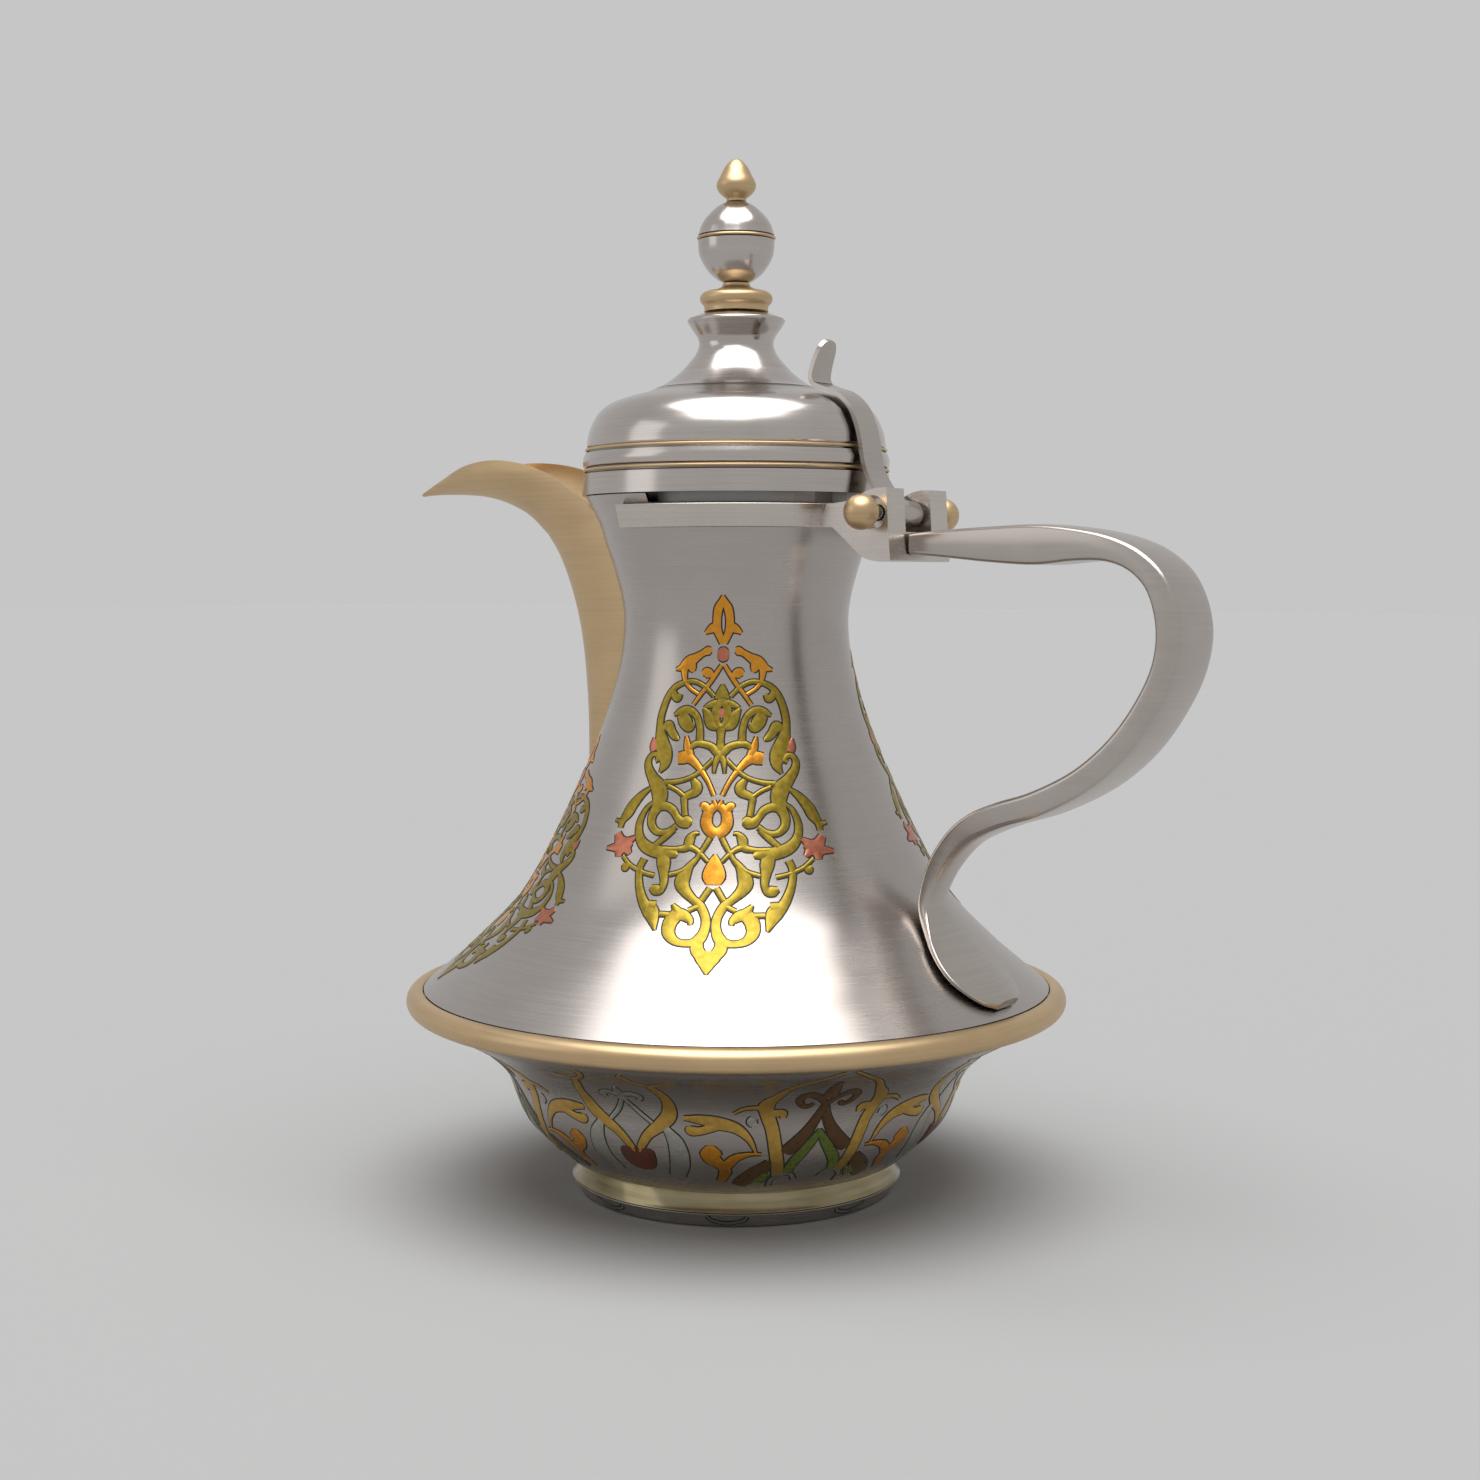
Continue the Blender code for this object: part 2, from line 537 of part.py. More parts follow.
def make_strap():
    """Hinge strap: rolled round the pin, laid up the lid, and turned up as a thumb tab."""
    coil = PIN_R + GAP + STRAP_THICK / 2
    turns = [math.radians(90 - 29 * k) for k in range(11)]
    roll = [(HINGE_X + coil * math.cos(a), HINGE_Z + coil * math.sin(a), STRAP_HALF) for a in turns]
    climb = smooth([(54.0, 200.7, STRAP_HALF), (50.4, 203.8, STRAP_HALF), (47.2, 208.8, STRAP_HALF),
                    (45.9, 213.6, STRAP_HALF), (45.3, 217.4, STRAP_HALF), (44.0, 222.2, STRAP_HALF),
                    (41.7, 227.0, STRAP_HALF), (37.6, 230.7, STRAP_HALF), (32.0, 232.7, STRAP_HALF)], 2)
    tab = smooth([(29.6, 233.7, STRAP_HALF), (28.7, 235.8, STRAP_HALF), (29.4, 239.2, 4.9),
                  (30.9, 243.2, 4.2), (31.9, 245.4, 2.7), (32.3, 246.2, 1.0)], 2)
    path = roll[::-1] + climb + tab
    rings = []
    for i, (x, z, half) in enumerate(path):
        before = path[max(i - 1, 0)]
        after = path[min(i + 1, len(path) - 1)]
        along = Vector((after[0] - before[0], after[1] - before[1])).normalized()
        out = Vector((-along.y, along.x)) * (STRAP_THICK / 2)
        rings.append([(x + out.x, -half, z + out.y), (x + out.x, half, z + out.y),
                      (x - out.x, half, z - out.y), (x - out.x, -half, z - out.y)])
    place("lid_strap", skin(rings), finish("strap_steel", STEEL, 0.2))


LID_PIECES = ("lid_dome", "lid_wire_upper", "lid_wire_lower", "lid_inner_flange", "lid_spire",
              "lid_strap", "finial_base", "finial_ball_lower", "finial_band", "finial_ball_upper",
              "finial_tip", "finial_stud", "finial_washer", "finial_nut")


def hang_lid():
    """Parent every lid piece to an empty on the hinge pin's axis."""
    hinge = bpy.data.objects.new("lid_hinge", None)
    hinge.location = (HINGE_X * MM, 0, HINGE_Z * MM)
    bpy.context.collection.objects.link(hinge)
    for name in LID_PIECES:
        piece = bpy.data.objects[name]
        piece.parent = hinge
        piece.location = (-HINGE_X * MM, 0, -HINGE_Z * MM)


for old in list(bpy.data.objects):
    bpy.data.objects.remove(old, do_unlink=True)
make_body()
make_bowl()
make_ring()
make_foot()
make_strainer()
make_spout()
make_yoke()
make_pin()
make_handle()
make_lid()
make_finial()
make_strap()
hang_lid()
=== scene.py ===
import json
import math
import bpy
import bmesh
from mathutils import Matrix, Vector


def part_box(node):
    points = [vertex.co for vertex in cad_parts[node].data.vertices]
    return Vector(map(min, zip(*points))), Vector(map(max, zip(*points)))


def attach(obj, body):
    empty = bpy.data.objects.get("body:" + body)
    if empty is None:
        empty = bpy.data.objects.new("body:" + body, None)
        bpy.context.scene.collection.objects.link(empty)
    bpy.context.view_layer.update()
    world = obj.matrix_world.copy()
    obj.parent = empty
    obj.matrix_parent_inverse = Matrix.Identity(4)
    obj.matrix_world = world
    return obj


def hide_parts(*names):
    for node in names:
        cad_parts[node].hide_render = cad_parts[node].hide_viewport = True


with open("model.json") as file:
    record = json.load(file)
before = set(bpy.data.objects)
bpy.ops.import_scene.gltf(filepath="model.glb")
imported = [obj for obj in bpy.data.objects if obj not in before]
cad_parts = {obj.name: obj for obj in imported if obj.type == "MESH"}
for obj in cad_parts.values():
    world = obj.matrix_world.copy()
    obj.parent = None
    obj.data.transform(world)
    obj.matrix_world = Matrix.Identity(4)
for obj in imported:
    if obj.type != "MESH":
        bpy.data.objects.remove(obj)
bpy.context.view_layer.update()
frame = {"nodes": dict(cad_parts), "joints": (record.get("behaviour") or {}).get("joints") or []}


# ---- Neck and skirt -------------------------------------------------------------------------
# One sheet of stainless steel, spun over a former into a waist and a wide skirt, then satin
# polished in the lathe.  Its lip is cut back where the hinge sits, and an arched opening lets
# the coffee into the spout, which is soldered over it.
MM = 0.001
SHEET = 1.2
SEAM_R = 91.7
LIP_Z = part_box("body_shell")[1][2] / MM
LIP_CUT_Z = LIP_Z - 2.5
SPINNING_STEPS = 144


def linear(code):
    """An sRGB hex colour as linear RGBA."""
    parts = [int(code[i:i + 2], 16) / 255 for i in (1, 3, 5)]
    return tuple(c / 12.92 if c <= 0.04045 else ((c + 0.055) / 1.055) ** 2.4 for c in parts) + (1.0,)


def add(tree, kind, settings=None, links=None):
    """Add a node with its settings and its input values or links."""
    made = tree.nodes.new(kind)
    for key, value in (settings or {}).items():
        setattr(made, key, value)
    for key, value in (links or {}).items():
        if isinstance(value, bpy.types.NodeSocket):
            tree.links.new(value, made.inputs[key])
        else:
            made.inputs[key].default_value = value
    return made


def polished_metal(name, light, dark, smooth_at, rough_at, lathe_mm=0.45, relief_mm=0.003):
    """Metal finished in the lathe: hair lines round the axis over a faint clouding."""
    mat = bpy.data.materials.new(name)
    mat.use_nodes = True
    tree = mat.node_tree
    shader = tree.nodes["Principled BSDF"]
    shader.inputs["Metallic"].default_value = 1.0
    place_at = add(tree, "ShaderNodeTexCoord").outputs["Object"]
    along = 1 / (30 * MM)
    across = 1 / (lathe_mm * MM)
    stretched = add(tree, "ShaderNodeMapping", None,
                    {"Vector": place_at, "Scale": (along, along, across)}).outputs["Vector"]
    lines = add(tree, "ShaderNodeTexNoise", None,
                {"Vector": stretched, "Scale": 1.0, "Detail": 3.0}).outputs["Fac"]
    cloud = add(tree, "ShaderNodeTexNoise", None,
                {"Vector": place_at, "Scale": 1 / (22 * MM), "Detail": 2.0}).outputs["Fac"]
    both = add(tree, "ShaderNodeMath", {"operation": "ADD"}, {0: lines, 1: cloud}).outputs[0]
    rough = add(tree, "ShaderNodeMapRange", None,
                {"Value": both, "From Min": 0.7, "From Max": 1.3,
                 "To Min": smooth_at, "To Max": rough_at}).outputs["Result"]
    tone = add(tree, "ShaderNodeMapRange", None,
               {"Value": both, "From Min": 0.6, "From Max": 1.2}).outputs["Result"]
    colour = add(tree, "ShaderNodeMix", {"data_type": "RGBA"},
                 {"Factor": tone, 6: linear(dark), 7: linear(light)}).outputs[2]
    bump = add(tree, "ShaderNodeBump", None,
               {"Height": lines, "Strength": 0.15, "Distance": relief_mm * MM}).outputs["Normal"]
    tree.links.new(rough, shader.inputs["Roughness"])
    tree.links.new(colour, shader.inputs["Base Color"])
    tree.links.new(bump, shader.inputs["Normal"])
    return mat


# Satin polished stainless steel: warm grey, reflections softened and drawn round the pot.
SATIN_STEEL = polished_metal("satin polished stainless steel", "#B8B1AC", "#B1AAA5", 0.24, 0.29)


def smooth(points, per_span):
    """Catmull-Rom curve through control points."""
    first = [2 * a - b for a, b in zip(points[0], points[1])]
    last = [2 * a - b for a, b in zip(points[-1], points[-2])]
    ring = [tuple(first)] + list(points) + [tuple(last)]
    out = []
    for i in range(1, len(ring) - 2):
        p0, p1, p2, p3 = ring[i - 1:i + 3]
        for k in range(per_span):
            t = k / per_span
            out.append(tuple(
                0.5 * (2 * b + (c - a) * t + (2 * a - 5 * b + 4 * c - d) * t * t
                       + (3 * b - a - 3 * c + d) * t ** 3)
                for a, b, c, d in zip(p0, p1, p2, p3)))
    out.append(tuple(points[-1]))
    return out


def offset(points, distance):
    """Shift an outline that runs from top to bottom outwards by a distance."""
    out = []
    for i, point in enumerate(points):
        run = Vector(points[min(i + 1, len(points) - 1)]) - Vector(points[max(i - 1, 0)])
        run.normalize()
        out.append((point[0] - run.y * distance, point[1] + run.x * distance))
    return out


def rounded(profile, radius):
    """Break the hard corners of a closed profile with a small radius, as a buffed edge has."""
    out = []
    count = len(profile)
    for i, point in enumerate(profile):
        here = Vector(point)
        back = Vector(profile[i - 1]) - here
        ahead = Vector(profile[(i + 1) % count]) - here
        if point[0] < 0.01 or back.length * ahead.length == 0 or back.angle(ahead) > math.radians(145):
            out.append(point)
            continue
        reach = min(radius, back.length * 0.4, ahead.length * 0.4)
        start = here + back.normalized() * reach
        end = here + ahead.normalized() * reach
        for t in (0.0, 0.33, 0.67, 1.0):
            out.append(tuple(start * (1 - t) ** 2 + here * 2 * t * (1 - t) + end * t * t))
    return out


def finished(name, bm, material, sharp=40):
    """Turn a bmesh drawn in millimetres into a piece with its normals outwards."""
    bmesh.ops.remove_doubles(bm, verts=bm.verts, dist=0.002)
    bmesh.ops.recalc_face_normals(bm, faces=bm.faces)
    bmesh.ops.scale(bm, vec=(MM, MM, MM), verts=bm.verts)
    mesh = bpy.data.meshes.new(name)
    bm.to_mesh(mesh)
    bm.free()
    mesh.shade_smooth()
    mesh.set_sharp_from_angle(angle=math.radians(sharp))
    if material:
        mesh.materials.append(material)
    piece = bpy.data.objects.new(name, mesh)
    bpy.context.collection.objects.link(piece)
    return piece


def spun(name, profile, material, steps=SPINNING_STEPS, sharp=40):
    """Spin a closed (radius, height) profile right round the pot's axis."""
    bm = bmesh.new()
    rings = []
    for r, z in profile:
        if r < 0.005:
            rings.append([bm.verts.new((0, 0, z))] * steps)
        else:
            rings.append([bm.verts.new((r * math.cos(a), r * math.sin(a), z))
                          for a in [2 * math.pi * k / steps for k in range(steps)]])
    for low, high in zip(rings, rings[1:] + rings[:1]):
        for k in range(steps):
            corners = [low[k], low[k - 1], high[k - 1], high[k]]
            corners = list(dict.fromkeys(corners))
            if len(corners) > 2:
                bm.faces.new(corners)
    return finished(name, bm, material, sharp)


def lofted(name, rings, material, sharp=40):
    """Join rings of points into a tube and close its ends."""
    bm = bmesh.new()
    rows = [[bm.verts.new(p) for p in ring] for ring in rings]
    count = len(rows[0])
    for low, high in zip(rows, rows[1:]):
        for i in range(count):
            bm.faces.new((low[i], low[(i + 1) % count], high[(i + 1) % count], high[i]))
    bm.faces.new(rows[0])
    bm.faces.new(rows[-1])
    return finished(name, bm, material, sharp)


def slab(name, outline, low, high, axis=1):
    """A block with an outline drawn across one axis, for cutting or joining."""
    rings = []
    for reach in (low, high):
        rings.append([tuple(p[:axis]) + (reach,) + tuple(p[axis:]) for p in outline])
    return lofted(name, rings, None)


def settle(piece):
    """Make the result of a piece's modifiers its own plain mesh."""
    result = bpy.data.meshes.new_from_object(piece.evaluated_get(bpy.context.evaluated_depsgraph_get()))
    piece.modifiers.clear()
    piece.data = result
    return piece


def worked(piece, steps):
    """Cut or join a piece with each (tool, operation), and throw the tools away."""
    for tool, operation in steps:
        mod = piece.modifiers.new(operation.lower(), "BOOLEAN")
        mod.object = tool
        mod.operation = operation
        mod.solver = "EXACT"
    settle(piece)
    for tool, _ in steps:
        bpy.data.objects.remove(tool)
    piece.data.shade_smooth()
    piece.data.set_sharp_from_angle(angle=math.radians(30))
    return piece


def fitted(piece, body, slot_name, *nodes):
    """Hang a piece on its body and let it stand for CAD nodes."""
    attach(piece, body)
    if nodes:
        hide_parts(*nodes)
    return piece


NECK_AND_SKIRT = smooth([(43.7, LIP_Z), (39.9, 195.4), (37.9, 189), (35.8, 182.8), (33.3, 173),
                         (32.8, 164.5), (34.3, 153.3), (38.4, 138.6), (44.3, 124.0), (52.5, 106.0),
                         (62.8, 87.6), (75.8, 73.9), (85.2, 65.8), (SEAM_R, 60.45)], 7)


def sheet_between(outer):
    """Closed profile of a spun sheet, from its outer outline."""
    return outer + offset(outer, -SHEET)[::-1]


def radius_at(outline, z):
    """Radius of a falling outline at one height."""
    for (r0, z0), (r1, z1) in zip(outline, outline[1:]):
        if z1 <= z <= z0:
            return r0 + (r1 - r0) * (z0 - z) / (z0 - z1)
    return outline[0][0] if z > outline[0][1] else outline[-1][0]


skirt_profile = sheet_between(NECK_AND_SKIRT)
skirt_profile[len(NECK_AND_SKIRT)] = (SEAM_R - 1.9, 60.45)
skirt_profile[-1] = (42.4, LIP_Z)
body = spun("neck_and_skirt", skirt_profile, SATIN_STEEL)
lip_tool = slab("lip_tool", [(0, LIP_CUT_Z), (60, LIP_CUT_Z), (60, LIP_Z + 5), (0, LIP_Z + 5)], -60, 60)
arch = [(9 * math.cos(a), 170 + 16 * math.sin(a)) for a in [math.pi * k / 24 for k in range(48)]]
port_tool = slab("port_tool", arch, -60, -10, 0)
fitted(worked(body, [(lip_tool, "DIFFERENCE"), (port_tool, "DIFFERENCE")]), "root", "pot_steel", "body_shell")


# ---- Bowl, gilt ring and foot ---------------------------------------------------------------
# The lower bowl is spun from the same sheet and soldered to the skirt; a half-round ring of
# gilt brass covers the seam.  A flared collar and a tapered base ring make the foot.
BOWL = smooth([(SEAM_R, 54.3), (88.6, 52.4), (85.1, 50.0), (78.0, 46.0), (72.8, 42), (68.9, 38),
               (66.7, 34), (65.25, 30), (63.7, 26), (61.5, 22), (57.9, 18), (53.6, 14), (49.5, 10.6),
               (47.5, 9.8)], 6)
RING_TUBE = 3.4
RING_Z = 57.1
ring_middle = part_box("rim_ring")[1][0] / MM - RING_TUBE

# Champagne gold plating on brass, satin: pale and warm, a shade deeper where it turns away.
GILT = polished_metal("satin champagne gold plating on brass", "#CFB48C", "#C2A680", 0.36, 0.42, 0.6)

bowl_wall = offset(BOWL, -SHEET)
bowl_profile = ([(SEAM_R, 58.4)] + BOWL + [(0, 9.8), (0, 11)] + bowl_wall[:1:-1]
                + [(SEAM_R - SHEET, 55.3), (SEAM_R - SHEET, 58.4)])
fitted(spun("lower_bowl", bowl_profile, SATIN_STEEL), "root", "pot_steel", "bowl_shell")

flat = SEAM_R + 0.3
half_turn = math.acos((flat - ring_middle) / RING_TUBE)
ring_arc = [(ring_middle + RING_TUBE * math.cos(a), RING_Z + RING_TUBE * math.sin(a))
            for a in [half_turn * (1 - k / 18) for k in range(37)]]
fitted(spun("gilt_rim_ring", ring_arc, GILT, 192), "root", "gilt", "rim_ring")

COLLAR = smooth([(46.2, 9.5), (46.6, 8.3), (47.3, 6.8), (48.1, 5.4), (48.75, 4.45)], 5)
# Bright steel under a thin, darkened gilt wash, clouded where it has worn.
WASHED_STEEL = polished_metal("darkened gilt wash on steel", "#A3977A", "#5C5434", 0.12, 0.18, 2.4)
fitted(spun("foot_collar_flare", rounded(sheet_between(COLLAR), 0.25), WASHED_STEEL),
       "root", "pot_steel", "foot_collar")
foot_bed = [(48.75, 4.1), (48.45, 3.4), (46.3, 0.0), (44.9, 0.0), (44.9, 4.1)]
fitted(spun("foot_base_ring", rounded(foot_bed, 0.3), SATIN_STEEL), "root", "pot_steel", "foot_ring")

# Plain cold-rolled stainless steel, not polished: the hidden parts and the inner faces.
PLAIN_STEEL = polished_metal("unpolished cold-rolled stainless steel", "#A9A6A3", "#949190", 0.36, 0.5, 0.9)
for hidden in ("base_disc", "strainer_plate", "lid_inner_flange", "finial_stud", "finial_washer",
               "finial_nut"):
    frame["nodes"][hidden].data.materials.clear()
    frame["nodes"][hidden].data.materials.append(PLAIN_STEEL)


# ---- Spout ------------------------------------------------------------------------------------
# An open-topped crescent of gilt brass sheet, raised over a stake and soldered over the opening
# in the neck.  Each station gives keel radius and height, edge radius and height, half width.
SPOUT_SHEET = 1.3
neck_outside = offset(NECK_AND_SKIRT, 0.4)
on_neck = smooth([(54.9, 104.0, 104.6, 1.6), (53.3, 115.0, 115.0, 6.6), (52.7, 127.0, 127.0, 9.8),
                  (53.3, 143.0, 143.0, 12.0), (55.3, 160.0, 160.0, 13.2), (58.9, 174.0, 175.0, 13.8),
                  (64.0, 185.6, 188.0, 14.0), (69.2, 192.6, 197.4, 14.0)], 7)
beyond = smooth([(69.2, 192.6, 39.6, 197.4, 14.0), (76.4, 198.4, 47.0, 202.9, 14.0),
                 (85.0, 202.2, 58.0, 209.4, 13.9), (94.0, 204.5, 70.0, 213.7, 13.2),
                 (103.5, 205.5, 84.0, 215.5, 11.4), (112.5, 205.8, 99.0, 214.2, 7.8),
                 (119.0, 205.7, 112.0, 210.2, 4.0), (123.3, 205.4, 123.0, 206.2, 1.1)], 7)


def channel(keel, edge_of, edge_z, half, sheet):
    """One closed U section: the outside, then the inside."""
    loop = []
    for inside in (False, True):
        wide = half - (sheet if inside else 0.0)
        edge = (-edge_of(wide), edge_z)
        deep = Vector((-keel[0] - edge[0], keel[1] - edge[1]))
        deep = deep * (1 - (sheet if inside else 0.0) / deep.length)
        side = [(edge[0] + deep.x * math.sin(a), -wide * math.cos(a), edge[1] + deep.y * math.sin(a))
                for a in [math.pi * k / 28 for k in range(29)]]
        loop += side[::-1] if inside else side
    return loop


spout_rings = []
for keel_r, keel_z, edge_z, half in on_neck:
    near = radius_at(neck_outside, edge_z)
    spout_rings.append(channel((keel_r, keel_z), lambda y, r=near: math.sqrt(r * r - y * y), edge_z,
                               half, min(SPOUT_SHEET, half * 0.5)))
for keel_r, keel_z, edge_r, edge_z, half in beyond[1:]:
    spout_rings.append(channel((keel_r, keel_z), lambda y, r=edge_r: r, edge_z, half,
                               min(SPOUT_SHEET, half * 0.45)))
fitted(lofted("crescent_spout", spout_rings, GILT, 50), "root", "spout_gilt", "spout")


# ---- Yoke and hinge cheeks --------------------------------------------------------------------
# A strip of steel bent round the back of the neck, forged out at the rear into two cheeks that
# take the hinge pin.  Filed, bevelled and soldered to the neck.
hinge_x, _, hinge_z = [v / MM for v in frame["joints"][0]["pos_m"]]
PIN_R = 2.0
CHEEK_OUT = 16.3
YOKE_TOP_Z = 199.8
YOKE_LOW_Z = 193.3
YOKE_WRAP = math.radians(104)

# Satin polished wrought steel: like the body, with the file's flatter, straighter finish.
WROUGHT_STEEL = polished_metal("satin polished wrought steel", "#BDB5AE", "#B3ABA4", 0.20, 0.26, 0.7)
# The yoke has the handle's steel with finer lines, drawn a little lighter as painted light.
YOKE_STEEL_PAINTED_LIGHTER = polished_metal("yoke steel painted lighter", "#CFC7C0", "#C5BDB6", 0.24, 0.30, 0.5)

yoke_wall = offset(NECK_AND_SKIRT, 0.3)
yoke_top = radius_at(yoke_wall, YOKE_TOP_Z) + 2.2
yoke_section = [(radius_at(yoke_wall, z), z) for z in (YOKE_TOP_Z, 198, 196.5, 195, YOKE_LOW_Z)]
yoke_section = rounded(yoke_section + [(yoke_top - 1.6, YOKE_LOW_Z), (yoke_top, YOKE_TOP_Z)], 0.35)
# The yoke takes the lighter steel: its extra lightness is painted light.
yoke = lofted("yoke_and_cheeks", [[(r * math.cos(a), r * math.sin(a), z) for r, z in yoke_section]
              for a in [YOKE_WRAP * (k / 60 - 1) for k in range(121)]], YOKE_STEEL_PAINTED_LIGHTER)
cheek = [(36, YOKE_TOP_Z), (44, YOKE_TOP_Z)] + smooth([(48, 200.3), (51.5, 201.6), (54.8, 203.1)], 4) + [
    (57.6, 203.7), (60.7, 203.7), (61.4, 192.0), (62.0, 184.2), (61.6, 183.8)] + smooth(
    [(58.4, 183.8), (55.4, 184.3), (52.6, 185.5), (46.0, 191.2), (43.4, YOKE_LOW_Z)], 4) + [(36, YOKE_LOW_Z)]
cheeks = slab("cheeks", cheek, -CHEEK_OUT, CHEEK_OUT)
neck_plug = [(0, LIP_Z + 1), (radius_at(yoke_wall, LIP_Z), LIP_Z + 1)] + [
    p for p in yoke_wall if p[1] > 180] + [(0, 181)]
cheek_cuts = [(spun("neck_plug", neck_plug, None), "DIFFERENCE"),
              (slab("slot_tool", [(47.5, 191.9), (70, 191.9), (70, 210), (47.5, 210)], -7, 7), "DIFFERENCE")]
for radius, low, high in ((PIN_R + 0.3, -30, 30), (4.6, CHEEK_OUT - 3, CHEEK_OUT + 5),
                          (4.6, -CHEEK_OUT - 5, 3 - CHEEK_OUT)):
    circle = [(hinge_x + radius * math.cos(a), hinge_z + radius * math.sin(a))
              for a in [math.pi * k / 24 for k in range(48)]]
    cheek_cuts.append((slab("round_tool", circle, low, high), "DIFFERENCE"))
worked(cheeks, cheek_cuts)
worked(yoke, [(cheeks, "UNION")])
bevel = yoke.modifiers.new("filed_edges", "BEVEL")
bevel.width = 0.3 * MM
bevel.segments = 2
bevel.limit_method = "ANGLE"
bevel.angle_limit = math.radians(50)
settle(yoke)
fitted(yoke, "root", "hinge_steel", "yoke_bracket")


# ---- Hinge pin and its balls --------------------------------------------------------------------
# A drawn steel pin, with a turned gilt ball pressed on each end outside the cheeks.
BALL_R = 4.85
BALL_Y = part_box("hinge_ball_right")[1][1] / MM - BALL_R


def turned_on_pin(name, profile, material, steps=48):
    """Spin a profile given as (radius, distance along the pin)."""
    piece = spun(name, profile, material, steps)
    for v in piece.data.vertices:
        v.co = Vector((v.co.x + hinge_x * MM, -v.co.z, v.co.y + hinge_z * MM))
    return piece


pin_end = BALL_Y - 4.5
fitted(turned_on_pin("hinge_pin_rod", [(0, -pin_end), (PIN_R, -pin_end), (PIN_R, pin_end), (0, pin_end)],
                     WROUGHT_STEEL), "root", "hinge_steel", "hinge_pin")
for side, node in ((1, "hinge_ball_left"), (-1, "hinge_ball_right")):
    dome = [(BALL_R * math.sin(a), side * BALL_Y + BALL_R * math.cos(a))
            for a in [math.pi * k / 28 for k in range(29)]]
    fitted(turned_on_pin(node + "_gilt", dome, GILT), "root", "gilt", node)


# ---- Handle -------------------------------------------------------------------------------------
# One steel casting: a bow of soft rectangular section, thinned to a wrist and spread into a leaf
# that is soldered down on the skirt.  Stations: x, z, thickness, half width, ridge height.
bow = smooth([(62.3, 188.7, 5.8, 6.9, 0.0), (75.0, 188.6, 7.8, 7.2, 0.1), (88.0, 188.3, 9.6, 7.8, 0.2),
              (101.0, 188.1, 10.5, 8.7, 0.3), (113.0, 188.0, 8.4, 9.6, 0.4), (123.0, 186.8, 6.6, 10.3, 0.4),
              (131.0, 183.4, 6.1, 10.7, 0.4), (137.0, 177.2, 6.5, 11.0, 0.4), (140.1, 167.0, 7.2, 11.0, 0.4),
              (138.9, 156.4, 6.9, 11.0, 0.4), (133.9, 145.8, 6.8, 11.0, 0.4), (126.2, 135.4, 6.8, 11.2, 0.4),
              (115.8, 126.6, 6.7, 11.2, 0.4), (103.0, 120.0, 6.8, 10.7, 0.4), (92.0, 116.4, 6.8, 9.5, 0.4),
              (83.6, 113.0, 6.8, 8.1, 0.4), (76.9, 108.6, 6.1, 6.8, 0.3), (71.2, 101.8, 5.7, 5.7, 0.3),
              (67.6, 94.4, 4.8, 5.2, 0.3), (66.5, 88.2, 3.6, 5.8, 0.4)], 1)
leaf = [(68.3, 2.3, 8.6, 0.4), (72.0, 1.7, 11.8, 0.8), (76.0, 1.4, 13.9, 1.1), (80.0, 1.3, 14.5, 1.3),
        (84.0, 1.3, 13.0, 1.4), (87.3, 1.6, 9.9, 1.2), (89.3, 2.2, 5.4, 0.5)]


def height_at(outline, r):
    """Height of the skirt at one radius, below the waist."""
    for (r0, z0), (r1, z1) in zip(outline, outline[1:]):
        if r0 <= r <= r1 and z0 < 160:
            return z0 + (z1 - z0) * (r - r0) / (r1 - r0)
    return outline[-1][1]


stations = list(bow)
for r, thick, half, ridge in leaf:
    z = height_at(NECK_AND_SKIRT, r)
    slope = Vector((2.0, height_at(NECK_AND_SKIRT, r + 1) - height_at(NECK_AND_SKIRT, r - 1))).normalized()
    lift = 0.55 + thick / 2
    stations.append((r - slope.y * lift, z + slope.x * lift, thick, half, ridge))
stations = smooth(stations, 5)
handle_rings = []
for i, (x, z, thick, half, ridge) in enumerate(stations):
    run = Vector(stations[min(i + 1, len(stations) - 1)][:2]) - Vector(stations[max(i - 1, 0)][:2])
    run = Vector((1, 0)) if i == 0 else run.normalized()
    soft = min(1.3, thick * 0.35)
    h = thick / 2
    corners = []
    for cy, cn, start in ((half - soft, -h + soft, -90), (half - soft, h - soft, 0),
                          (soft - half, h - soft, 90), (soft - half, -h + soft, 180)):
        for k in range(5):
            a = math.radians(start + 22.5 * k)
            corners.append((cy + soft * math.cos(a), cn + soft * math.sin(a)))
        if start == 0:
            corners += [(half * t, h + ridge * (1 - t * t)) for t in (0.6, 0.35, 0.12, -0.12, -0.35, -0.6)]
    handle_rings.append([(x - run.y * n, y, z + run.x * n) for y, n in corners])
fitted(lofted("bowed_handle", handle_rings, WROUGHT_STEEL, 35), "root", "handle_steel", "handle")


# ---- Lid ----------------------------------------------------------------------------------------
# A spun dome with two gilt wires laid in grooves, and a concave spire soldered on top.  It is
# polished brighter than the body.
LID_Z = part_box("lid_dome")[0][2] / MM
WIRE_R = 0.42

# Bright polished stainless steel: nearly a mirror, with a trace of the lathe left in it.
BRIGHT_STEEL = polished_metal("bright polished stainless steel", "#C6BFBA", "#BAB2AC", 0.17, 0.22, 0.4, 0.003)


def groove(r, z):
    """A shallow round groove in the lid's side, from top to bottom."""
    room = WIRE_R + 0.3
    return [(r - room * math.sin(a), z + room * math.cos(a)) for a in
            [math.pi * (0.12 + 0.095 * k) for k in range(9)]]


